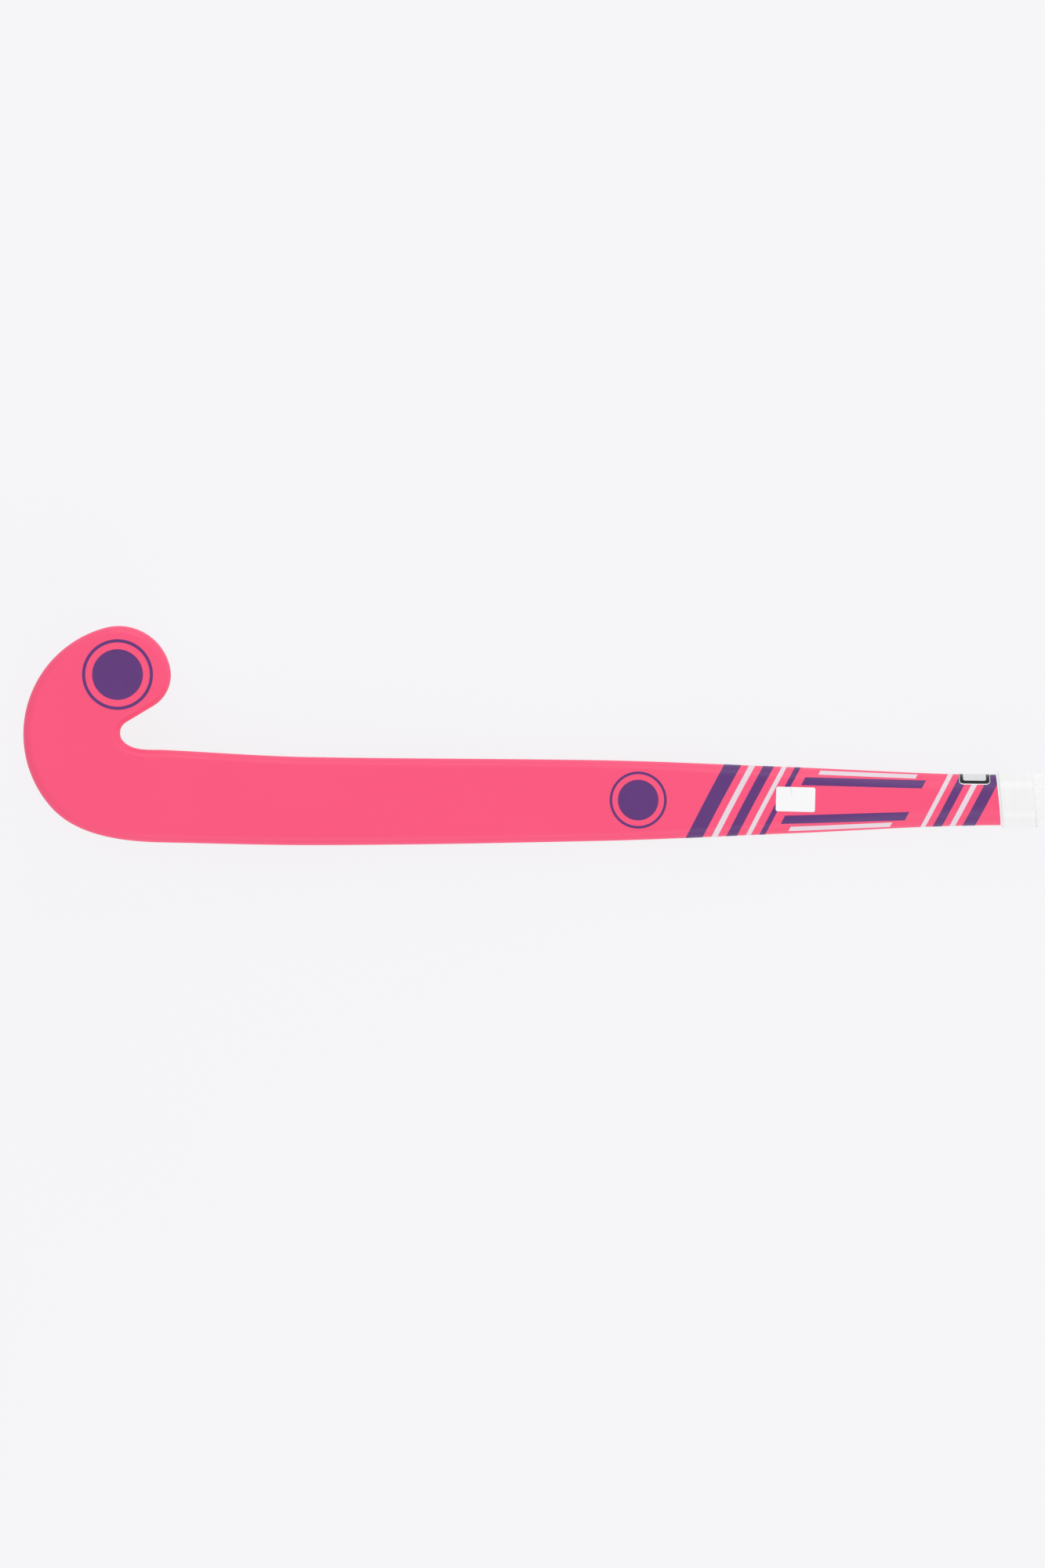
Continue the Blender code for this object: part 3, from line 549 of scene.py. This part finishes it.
# Cushioned polyurethane tape: coagulated on a fleece, embossed with a fine pebble and pierced with small
#  holes. The eye gets a soft, almost matt white, with rows of faint dots that follow the winding; the
#  holes' darker tone is painted shade in their recess.
gripFinish = {
    # the first tone, in the holes, is painted shade in their recess
    "tones": ("#E5E5E8", "#F8F8F9"),  # in the holes and between them
    "holePitch": 0.0034,
    "holeRadius": 0.00032,
    "holeSoftness": 0.3,  # share of the radius over which the rim is rounded, to either side
    "pebbleScale": 1500,  # per metre: 0.7 mm
    "pebbleShare": 0.35,  # of the relief, the holes having all of it
    "reliefHeight": 0.00004,
    "reliefStrength": 0.8,
    "roughness": 0.58,
}


# The tape's own run is cut into a diamond net with a hole in the middle of each cell: the distance from
# there makes the hole, and less the distances in a net of round pebbles it makes the relief
def woundPolyurethane():
    fixed = {"Roughness": gripFinish["roughness"]}
    finish, tree, shader, place = startFinish("perforated_white_polyurethane", fixed)
    run = addNode(tree, "ShaderNodeAttribute", attribute_name="tapeRun").outputs["Vector"]
    perPitch = 1 / gripFinish["holePitch"]
    net = {"Vector": run, "Rotation": (0, 0, math.pi / 4), "Scale": (perPitch, perPitch, 0)}
    turned = addNode(tree, "ShaderNodeMapping", net).outputs["Vector"]
    cell = addNode(tree, "ShaderNodeVectorMath", {0: turned}, operation="FRACTION").outputs["Vector"]
    fromHole = addNode(tree, "ShaderNodeVectorMath", {0: cell, 1: (0.5, 0.5, 0)}, operation="DISTANCE")
    away = fromHole.outputs["Value"]
    radius, soft = gripFinish["holeRadius"] * perPitch, gripFinish["holeSoftness"]
    rim = {"Value": away, "From Min": radius * (1 - soft), "From Max": radius * (1 + soft)}
    hole = addNode(tree, "ShaderNodeMapRange", rim, interpolation_type="SMOOTHSTEP").outputs["Result"]
    pebbles = {"Vector": place, "Scale": gripFinish["pebbleScale"]}
    pebble = addNode(tree, "ShaderNodeTexVoronoi", pebbles, feature="SMOOTH_F1").outputs["Distance"]
    pressed = {0: pebble, 1: -gripFinish["pebbleShare"], 2: hole}
    grain = addNode(tree, "ShaderNodeMath", pressed, operation="MULTIPLY_ADD").outputs["Value"]
    height, strength = gripFinish["reliefHeight"], gripFinish["reliefStrength"]
    # The hole mask also darkens the tone inside each hole: painted shade
    toneAndRelief(shader, hole, gripFinish["tones"], grain, height, strength)
    return finish


# The wound grip: the tape's cross profile carried along a helix. Both its edges are thinned, and the edge
# towards the butt lies on the next turn's, so that a soft ridge and a groove run round the handle.
grip = {
    "start": 0.5125,
    "end": 0.9187,
    "width": 0.030,
    "lap": 0.003,
    "skive": 0.0014,
    "edgeRound": 0.0008,
    "edgeDrop": 0.7,  # how far the rounded edge falls, as a share of its rise over the lapped edge
    "crown": 0.00012,
    "pressedShare": 0.5,
    "releaseStart": 0.5296,
    "releaseLength": 0.014,
    "climbStart": 0.532,
    "climbLength": 0.070,
    "turnSteps": 84,
    "profileSteps": {"under": 6, "rim": 5, "crown": 14, "skive": 6},
}


# Height of the tape's inner side over the skin, where it climbs onto the foam underlay as an eased step
def underTape(x):
    clearance, underlay = gripBuild["clearance"], gripBuild["underlay"]
    return clearance + (underlay + clearance) * eased((x - grip["climbStart"]) / grip["climbLength"])


# The tape's thickness: pressed by the finishing tape at the grip's lower end, and eased to full beyond
def tapeThickness(x):
    release = eased((x - grip["releaseStart"]) / grip["releaseLength"])
    return gripBuild["tape"] * (grip["pressedShare"] + (1 - grip["pressedShare"]) * release)


# The tape's grid and its run. Each row is a step of the helix, and goes across the strip under it and back
# over it; what lies past the grip's square-cut ends is drawn back to them. Lifted and top follow the skived
# edges as eased or straight steps, the crown as a parabola and the rounded edge as a quarter circle.
def woundTape():
    clearance, edgeRound, steps = gripBuild["clearance"], grip["edgeRound"], grip["profileSteps"]
    width, lap, skive = grip["width"], grip["lap"], grip["skive"]
    pitch = width - lap
    count = np.arange(
        math.floor((grip["start"] - width) / pitch * grip["turnSteps"]) + 1,
        math.ceil(grip["end"] / pitch * grip["turnSteps"]),
    )[:, None]
    start = pitch * count / grip["turnSteps"]
    turn = 2 * math.pi * count / grip["turnSteps"]
    low = np.clip(grip["start"] - start, 0, width)
    high = np.clip(grip["end"] - start, 0, width)
    shoulder = lap + clearance + skive
    lapEnd = width - lap - clearance
    underMiddle = np.linspace(shoulder, lapEnd - skive, steps["under"])
    underAcross = np.concatenate([[0], underMiddle, [lapEnd - skive / 2, lapEnd, width]])
    overAcross = np.concatenate(
        [
            width - edgeRound * (1 - np.cos(np.linspace(0, math.pi / 2, steps["rim"]))),
            np.linspace(width - edgeRound * 2, shoulder, steps["crown"]),
            np.linspace(shoulder, lap + clearance, steps["skive"])[1:],
            [lap / 2, 0],
        ]
    )
    under, over = np.clip(underAcross, low, high), np.clip(overAcross, low, high)
    full = tapeThickness(start + over)
    edge = (full - clearance) / 2
    top = edge + (full - edge) * eased((over - lap - clearance) / skive)
    fromMiddle = np.clip((over - (shoulder + width) / 2) / ((width - shoulder) / 2), -1, 1)
    top = top + grip["crown"] * (1 - fromMiddle**2) * full / gripBuild["tape"]
    toEdge = np.clip((over - width + edgeRound) / edgeRound, 0, 1)
    top = top - (full - edge) * grip["edgeDrop"] * (1 - np.sqrt(1 - toEdge**2))
    lip = (tapeThickness(start + under) + clearance) / 2
    lifted = np.clip((under - lapEnd + skive) / skive, 0, 1)
    across = np.concatenate([under, over], axis=1)
    heights = underTape(start + across) + np.concatenate([lip * lifted, top], axis=1)
    grid = overShaft(start + across, turn, heights)
    grid[0], grid[-1] = grid[0].mean(axis=0), grid[-1].mean(axis=0)
    along = count / grip["turnSteps"] * math.pi * (shaft["toeSide"][-1] + shaft["heelSide"][-1])
    run = np.stack([np.broadcast_to(along, across.shape), across, np.zeros_like(across)], axis=-1)
    return grid, run


tapeGrid, tapeRun = woundTape()
gripWhite = woundPolyurethane()
closedPiece("wound_grip", tapeGrid, gripWhite, run=tapeRun, stands=["grip_tape"])
print("grip made")


# Vinyl, rubber and paper: one noise is both the tone and the relief, drawn out round the stick by a stretch
def grained(name, look):
    finish, tree, shader, place = startFinish(name, {"Roughness": look["roughness"]})
    if "stretch" in look:
        drawn = {"Vector": place, "Scale": (1, look["stretch"], look["stretch"])}
        place = addNode(tree, "ShaderNodeMapping", drawn).outputs["Vector"]
    noise = {"Vector": place, "Scale": look["scale"], "Detail": look["detail"]}
    grain = addNode(tree, "ShaderNodeTexNoise", noise).outputs["Fac"]
    toneAndRelief(shader, grain, look["tones"], grain, look["height"])
    return finish


# Stretch vinyl tape: calendered film pulled tight, so the eye gets a clean white with faint pulled streaks
vinyl = {
    "tones": ("#F0F0F1", "#F8F8F8"),
    "scale": 900,  # per metre: 1.1 mm along the stick
    "stretch": 0.06,
    "detail": 2,
    "height": 0.00001,
    "roughness": 0.36,
}

# The finishing tape: a band whose lower part sits on the skin and the rest on the pressed grip. Its cut end
# laps over it at the back.
band = {
    "place": 0.5095,
    "length": 0.0185,
    "thickness": 0.0003,
    "stuck": 0.00006,  # its height over the skin at the edge, where it is stuck down
    "slant": 0.0013,
    "tailTurns": (math.radians(-58), math.radians(-20)),
    "tailThickness": 0.00015,
    "alongSteps": 25,
    "alongPower": 1.5,  # draws the steps together at the stuck edge
    "roundSteps": 144,
    "tailSteps": 20,
}


# Height of the band's inner side: stuck on the skin, then an eased step up onto the grip
def underBand(x):
    onGrip = gripBuild["tape"] * grip["pressedShare"] + 2 * gripBuild["clearance"]
    stepEnd = grip["start"] - gripBuild["clearance"] - band["slant"]
    middle = (band["place"] + stepEnd) / 2
    return band["stuck"] + (onGrip - band["stuck"]) * eased((x - middle) / (stepEnd - middle))


# The band goes round slanted, its places moved with the cosine of the turn, and its tail lies on it
def finishingBand(finish):
    x = band["place"] + band["length"] * np.linspace(0, 1, band["alongSteps"]) ** band["alongPower"]
    turn = np.arange(band["roundSteps"])[:, None] / band["roundSteps"] * 2 * math.pi
    height = underBand(x)
    rings = filmRings(*filmSides(x - band["slant"] * np.cos(turn), turn, height, band["thickness"]))
    closedPiece("finishing_band", rings, finish, ringed=True, stands=["finishing_tape"])
    tailTurn = np.linspace(*band["tailTurns"], band["tailSteps"])[:, None]
    tailPlace = x[1:-1] - band["slant"] * np.cos(tailTurn)
    tailHeight = height[1:-1] + band["thickness"]
    tail = filmSides(tailPlace, tailTurn, tailHeight, band["tailThickness"])
    closedPiece("finishing_band_tail", sheetGrid(*tail), finish)


finishingBand(grained("stretched_white_vinyl", vinyl))

# Moulded rubber: the mould was spark-eroded, so the eye gets a dull, even stipple
rubber = {
    "tones": ("#D3D3D6", "#DEDEE0"),
    "scale": 1300,  # per metre: 0.8 mm
    "detail": 2,
    "height": 0.00003,
    "roughness": 0.72,
}

cap = {
    "headLength": 0.0080,
    "stemLength": 0.030,
    "stemWall": 0.0028,
    "ribs": 4,
    "ribDepth": 0.0008,
    "ribLength": 0.0024,
    "endShares": (0, 0.2, 0.4, 0.54, 0.58, 0.60, 0.62, 0.64, 0.66, 0.70, 0.8, 0.9, 0.96),
    "grooveShare": 0.62,  # of the way out on the end face
    "grooveHalf": 0.04,
    "grooveDepth": 0.0004,
    "roundingSteps": 9,
    "stemSteps": 90,
    "roundSteps": 96,
}


# The butt cap: an oval outline carried round the shaft's axis, from the middle of its end face over the
# rounded head and the ribbed stem to the bottom of the stem's bore. The groove is a straight-sided notch,
# the rounding a quarter circle, and each rib an eased rise and fall about its crest.
def buttCap(finish):
    clearance = gripBuild["clearance"]
    length, rounding = shaft["length"], gripBuild["capRounding"]
    headStart = length - cap["headLength"]
    stemStart = shell["butt"] - cap["stemLength"]
    core = -shell["wall"] - clearance - cap["ribDepth"]
    share = np.array(cap["endShares"])
    groove = np.clip(1 - np.abs(share - cap["grooveShare"]) / cap["grooveHalf"], 0, 1)
    turn = np.linspace(math.pi / 2, 0, cap["roundingSteps"])
    stem = np.linspace(headStart, stemStart, cap["stemSteps"])
    crests = (stem - stemStart) / cap["stemLength"] * (cap["ribs"] + 1)
    nearest = np.clip(np.round(crests), 1, cap["ribs"])
    fromCrest = np.abs(crests - nearest) * cap["stemLength"] / (cap["ribs"] + 1)
    ribbed = core + cap["ribDepth"] * eased(1 - fromCrest / (cap["ribLength"] / 2))
    bore = core - cap["stemWall"]
    boreEnd = shell["butt"] - cap["stemWall"]
    places = np.concatenate(
        [
            length - groove * cap["grooveDepth"],
            length - rounding * (1 - np.sin(turn)),
            [headStart + clearance, headStart],
            stem,
            [stemStart, boreEnd, boreEnd],
        ]
    )
    heights = np.concatenate(
        [
            np.full(len(share), capHeight - rounding),
            capHeight - rounding * (1 - np.cos(turn)),
            [capHeight, capHeight - clearance],
            ribbed,
            [bore, bore, bore],
        ]
    )
    shrink = np.concatenate([share, np.ones(len(places) - len(share) - 1), [0]])
    aroundCap = np.arange(cap["roundSteps"]) / cap["roundSteps"] * 2 * math.pi
    rings = overShaft(places[:, None], aroundCap, heights[:, None])
    middle = rings.mean(axis=1, keepdims=True)
    rings = middle + (rings - middle) * shrink[:, None, None]
    closedPiece("butt_cap", rings, finish, stands=["end_cap"])


buttCap(grained("stippled_pale_rubber", rubber))
print("band and cap made")

# Printed label film: gloss polyester, black with a fine silver-grey line round it and a pale panel
label = {
    "place": 0.4888,
    "length": 0.0164,
    "faceEdge": 0.0080,  # how far its edge on the face lies from the axis
    "backTurn": math.radians(-48),
    "corner": 0.0022,
    "margin": 0.0005,
    "panelMargin": (0.0022, 0.0026),  # along the stick and across it
    "panelCorner": 0.0012,
    "lift": 0.00012,
    "layer": 0.00006,
    "acrossSteps": 65,
    "alongSteps": 17,
    "black": ("#0C0C0D", "#141416"),
    "line": ("#B9BBC0", "#C6C8CC"),
    "panel": ("#D9DADD", "#E2E3E6"),
    "scuffScale": 160,  # per metre: 6 mm
    "roughness": (0.16, 0.30),
    "ior": 1.4,
    "lineMetallic": 0.6,
}


# Noise scuffs carry both the tone and the gloss of the film
def glossFilm(name, tones, fixed):
    finish, tree, shader, place = startFinish(name, fixed)
    noise = {"Vector": place, "Scale": label["scuffScale"], "Detail": 4}
    scuffs = addNode(tree, "ShaderNodeTexNoise", noise).outputs["Fac"]
    first, second = (hexColour(tone) for tone in tones)
    tone = addNode(tree, "ShaderNodeMix", {"Factor": scuffs, 6: first, 7: second}, data_type="RGBA")
    low, high = label["roughness"]
    gloss = addNode(tree, "ShaderNodeMapRange", {"Value": scuffs, "To Min": low, "To Max": high})
    feed(shader, {"Base Color": tone.outputs[2], "Roughness": gloss.outputs["Result"]})
    return finish


# A film over the toe-side edge: rows across it from the face to the back, each as long as the arcs of the
# rounded corners leave it. Distances across are measured along the skin, as the turn times the local half
# width, and the rows lie closer towards both ends, as half a cosine.
def edgeFilm(name, alongMargin, acrossMargin, corner, layer, finish, slot=None, stands=()):
    toe, heel = shaftEdges(label["place"] + label["length"] / 2)
    half = (toe + heel) / 2
    turnAcross = acrossMargin / half
    onFace = math.acos(label["faceEdge"] / half) - turnAcross
    onBack = label["backTurn"] + turnAcross
    share = (1 - np.cos(np.linspace(0, math.pi, label["acrossSteps"])[:, None])) / 2
    turns = onFace + (onBack - onFace) * share
    fromEdge = np.minimum(turns[0] - turns, turns - turns[-1]) * half
    inCorner = np.clip(corner - fromEdge, 0, corner)
    shorter = corner - np.sqrt(corner**2 - inCorner**2)
    start = label["place"] + alongMargin + shorter
    end = label["place"] + label["length"] - alongMargin - shorter
    x = start + (end - start) * np.linspace(0, 1, label["alongSteps"])
    sides = filmSides(x, turns, label["lift"] + layer * label["layer"], label["layer"])
    closedPiece(name, sheetGrid(*sides), finish, stands=stands)


labelBlack = glossFilm("gloss_black_film", label["black"], {"IOR": label["ior"]})
labelLine = glossFilm("silver_grey_film_print", label["line"], {"Metallic": label["lineMetallic"]})
labelPanel = glossFilm("pale_film_print", label["panel"], {"IOR": label["ior"]})
corner, margin = label["corner"], label["margin"]
edgeFilm("label_line", 0, 0, corner, 0, labelLine, slot="label_film", stands=["approval_label"])
edgeFilm("label_ground", margin, margin, corner - margin, 1, labelBlack, slot="label_film")
edgeFilm("label_panel", *label["panelMargin"], label["panelCorner"], 2, labelPanel)

# Coated paper: the eye gets a clean white, with the clay coating's faint mottle
paper = {
    "tones": ("#F7F7F9", "#FDFDFE"),
    "scale": 700,  # per metre: 1.4 mm
    "detail": 5,
    "height": 0.000008,
    "roughness": 0.42,
}

sticker = {
    "place": 0.4033,
    "rise": 0.00035,
    "length": 0.0205,
    "width": 0.0127,
    "corner": 0.0010,
    "turn": math.radians(-1.5),
    "lift": 0.00012,
    "thickness": 0.00012,
    "puckerPlace": -0.0018,  # along, from the sticker's middle
    "puckerLength": 0.0054,  # from the toe-side edge to its tip
    "puckerHalfWidth": 0.0018,
    "puckerHeight": 0.0010,
    "puckerCrest": 0.4,  # where its height is full, as a share of its length
    "puckerNarrowest": 0.2,  # of its half width, at the tip
    "cornerSteps": 7,
    "acrossSteps": 48,
    "alongSteps": 97,
}


# A small pucker where the paper did not lie down: a drop-shaped blister by the toe-side edge. Its height
# grows from the edge and dies out at the tip, both as eased steps, and is a squared parabola across.
def puckerHeight(along, across):
    share = (sticker["width"] / 2 - across) / sticker["puckerLength"]
    half = sticker["puckerHalfWidth"] * np.clip(1 - share, sticker["puckerNarrowest"], 1)
    offMiddle = np.clip((along - sticker["puckerPlace"]) / half, -1, 1)
    crest = sticker["puckerCrest"]
    rise = eased(share / crest) * eased((1 - share) / (1 - crest))
    return sticker["puckerHeight"] * rise * (1 - offMiddle**2) ** 2


# A rounded rectangle on the face: rows across it, shortened at the corners by their arcs, then turned
def plainSticker():
    corner, width = sticker["corner"], sticker["width"]
    cornerRows = corner * (1 - np.cos(np.linspace(0, math.pi / 2, sticker["cornerSteps"])))
    middleRows = np.linspace(corner, width - corner, sticker["acrossSteps"])[1:-1]
    across = np.concatenate([cornerRows, middleRows, (width - cornerRows)[::-1]])[:, None]
    inCorner = np.clip(corner - np.minimum(across, width - across), 0, corner)
    halfLength = sticker["length"] / 2 - corner + np.sqrt(corner**2 - inCorner**2)
    along = halfLength * np.linspace(-1, 1, sticker["alongSteps"])
    across = across - width / 2 + np.zeros_like(along)
    cosine, sine = math.cos(sticker["turn"]), math.sin(sticker["turn"])
    x = sticker["place"] + along * cosine - across * sine
    y = sticker["rise"] + along * sine + across * cosine
    toe, heel = shaftEdges(x)
    turn = np.arccos((y - (toe - heel) / 2) / ((toe + heel) / 2))
    sides = filmSides(x, turn, sticker["lift"] + puckerHeight(along, across), sticker["thickness"])
    finish = grained("coated_white_paper", paper)
    closedPiece("plain_sticker", sheetGrid(*sides), finish, stands=["blank_sticker"])


plainSticker()
print("label and sticker made")

# Foams: blown from resin, so a cut shows small round cells. Scales are per metre: cells of 1 to 2 mm, drawn
# larger than the real ones so that they show.
# the first tone of each foam is painted shade at the middles of its cells
foams = {
    "head_core": {"name": "rigid_polyurethane_foam", "tones": ("#C9AF7C", "#DDC79A"), "scale": 500},
    "chamber_foam_toe_side": {"name": "soft_polyether_foam", "tones": ("#DAD8CC", "#ECEBE2"), "scale": 420},
    "grip_underlay": {"name": "black_rubber_foam", "tones": ("#141415", "#2A2A2C"), "scale": 900},
}
foamFinish = {"roughness": 0.92, "cellDepth": 0.3}  # the depth as a share of a cell's width


# Round cells, deeper towards their middles, with painted shade darkening the colour there
def blownFoam(foam):
    finish, tree, shader, place = startFinish(foam["name"], {"Roughness": foamFinish["roughness"]})
    net = {"Vector": place, "Scale": foam["scale"]}
    cells = addNode(tree, "ShaderNodeTexVoronoi", net).outputs["Distance"]
    # The cells' distance also picks the darker tone at their middles: painted shade in the hollows
    toneAndRelief(shader, cells, foam["tones"], cells, foamFinish["cellDepth"] / foam["scale"])
    return finish


# Braided carbon sleeve in epoxy: slanted tows that show as crossing bands under clear resin
braid = {
    "tones": ("#101012", "#26272A"),
    "towWidth": 0.003,
    "towHeight": 0.0001,
    "lean": math.radians(35),
    "roughness": 0.45,
    "coat": 0.6,
}


# Two families of bands that lean opposite ways, the higher of both being seen
def braidedCarbon():
    fixed = {"Roughness": braid["roughness"], "Coat Weight": braid["coat"]}
    finish, tree, shader, place = startFinish("braided_carbon_in_epoxy", fixed)
    bandScale = math.pi / 10 / braid["towWidth"]  # the wave node's bands are pi / 10 apart at scale 1
    families = []
    for lean in (braid["lean"], -braid["lean"]):
        turned = addNode(tree, "ShaderNodeMapping", {"Vector": place, "Rotation": (0, 0, lean)})
        bands = addNode(tree, "ShaderNodeTexWave", {"Vector": turned.outputs["Vector"], "Scale": bandScale})
        families.append(bands.outputs["Fac"])
    upper = addNode(tree, "ShaderNodeMath", {0: families[0], 1: families[1]}, operation="MAXIMUM")
    crossing = upper.outputs["Value"]
    toneAndRelief(shader, crossing, braid["tones"], crossing, braid["towHeight"])
    return finish


innerFinishes = {node: blownFoam(foam) for node, foam in foams.items()}
innerFinishes["chamber_foam_heel_side"] = innerFinishes["chamber_foam_toe_side"]
innerFinishes["chamber_tube_toe_side"] = braidedCarbon()
innerFinishes["chamber_tube_heel_side"] = innerFinishes["chamber_tube_toe_side"]
for node, finish in innerFinishes.items():
    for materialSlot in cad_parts[node].material_slots:
        materialSlot.material = finish
print("inner pieces finished")

# Stage: a pale floor, a soft even sky, and a soft box to each side, low enough to draw a faint sheen along
# rounded edges
stage = {
    "floorTones": ("#F5F5F7", "#F7F7F9"),
    "floorSize": 40.0,
    "floorDrop": 0.00025,
    "floorRoughness": 0.95,
    "fibreScale": 3,  # per metre: soft clouds, as the paper's own fibre is too fine to show
    "evenShare": 0.91,  # how much of the floor's own even colour is seen, so that shadows stay faint
    "skyColour": "#FFFFFF",
    "skyStrength": 0.77,
    "toeSideLight": {"place": (0.3, 1.9, 1.2), "power": 12, "size": (1.6, 0.9)},
    "heelSideLight": {"place": (0.4, -1.9, 1.4), "power": 11, "size": (1.6, 0.9)},
}


# 1 for what the camera sees, straight or in a mirroring or clear surface
def seenRays(tree):
    path = addNode(tree, "ShaderNodeLightPath").outputs
    seen = path["Is Camera Ray"]
    for kind in ("Is Glossy Ray", "Is Transmission Ray"):
        either = addNode(tree, "ShaderNodeMath", {0: seen, 1: path[kind]}, operation="MAXIMUM")
        seen = either.outputs["Value"]
    return seen


# Matt paper, mostly seen in its own even colour and for the rest with its light and shadow
def floorPaper():
    finish, tree, shader, place = startFinish("matt_studio_paper", {"Roughness": stage["floorRoughness"]})
    noise = {"Vector": place, "Scale": stage["fibreScale"], "Detail": 2}
    fibre = addNode(tree, "ShaderNodeTexNoise", noise).outputs["Fac"]
    first, second = (hexColour(tone) for tone in stage["floorTones"])
    tone = addNode(tree, "ShaderNodeMix", {"Factor": fibre, 6: first, 7: second}, data_type="RGBA")
    feed(shader, {"Base Color": tone.outputs[2]})
    even = addNode(tree, "ShaderNodeEmission", {"Color": tone.outputs[2], "Strength": 1})
    part = {0: seenRays(tree), 1: stage["evenShare"]}
    share = addNode(tree, "ShaderNodeMath", part, operation="MULTIPLY").outputs["Value"]
    both = {0: share, 1: shader.outputs["BSDF"], 2: even.outputs["Emission"]}
    mixed = addNode(tree, "ShaderNodeMixShader", both)
    feed(tree.nodes["Material Output"], {"Surface": mixed.outputs["Shader"]})
    return finish


# One square face under the stick
def makeFloor():
    half, drop = stage["floorSize"] / 2, stage["floorDrop"]
    corners = [(-half, -half, -drop), (half, -half, -drop), (half, half, -drop), (-half, half, -drop)]
    mesh = bpy.data.meshes.new("floor")
    mesh.from_pydata(corners, [], [(0, 1, 2, 3)])
    mesh.materials.append(floorPaper())
    floor = bpy.data.objects.new("floor", mesh)
    bpy.context.scene.collection.objects.link(floor)


# An area lamp turned about the stick's length towards it
def softBox(name, place, power, size):
    light = bpy.data.lights.new(name, "AREA")
    light.shape = "RECTANGLE"
    light.size, light.size_y = size
    light.energy = power
    lamp = bpy.data.objects.new(name, light)
    lamp.location = place
    lamp.rotation_euler = (math.atan2(-place[1], place[2]), 0, 0)
    bpy.context.scene.collection.objects.link(lamp)


# The sky lights with its own strength, and the floor's colour is seen in it, so that no horizon shows
def makeSky():
    sky = bpy.data.worlds.new("sky")
    sky.use_nodes = True
    tree = sky.node_tree
    light = tree.nodes["Background"]
    feed(light, {"Color": hexColour(stage["skyColour"]), "Strength": stage["skyStrength"]})
    plain = {"Color": hexColour(stage["floorTones"][0]), "Strength": 1}
    backdrop = addNode(tree, "ShaderNodeBackground", plain)
    both = {0: seenRays(tree), 1: light.outputs[0], 2: backdrop.outputs[0]}
    mixed = addNode(tree, "ShaderNodeMixShader", both)
    feed(tree.nodes["World Output"], {"Surface": mixed.outputs["Shader"]})
    bpy.context.scene.world = sky


makeFloor()
for name in ("toeSideLight", "heelSideLight"):
    softBox(name, **stage[name])
makeSky()

# Camera: straight down on the face. The picture's height is its long side and spans so many metres at the
# face, and its middle lies at this place of the stick.
camera = {"lens": 300, "sensor": 36, "pictureHeight": 0.820, "middle": (0.2605, 0.0084), "facePlace": 0.25}


# Its distance is the picture's height times the lens over the sensor
def aimCamera():
    view = bpy.data.cameras.new("camera")
    view.lens = camera["lens"]
    view.sensor_width = camera["sensor"]
    viewer = bpy.data.objects.new("camera", view)
    distance = camera["pictureHeight"] * camera["lens"] / camera["sensor"]
    face = np.array([*camera["middle"], faceHeight(camera["facePlace"])]) + toFrame
    viewer.location = face + (0, 0, distance)
    bpy.context.scene.collection.objects.link(viewer)
    bpy.context.scene.camera = viewer


aimCamera()
bpy.context.scene.view_settings.view_transform = "Standard"
print("stage set")
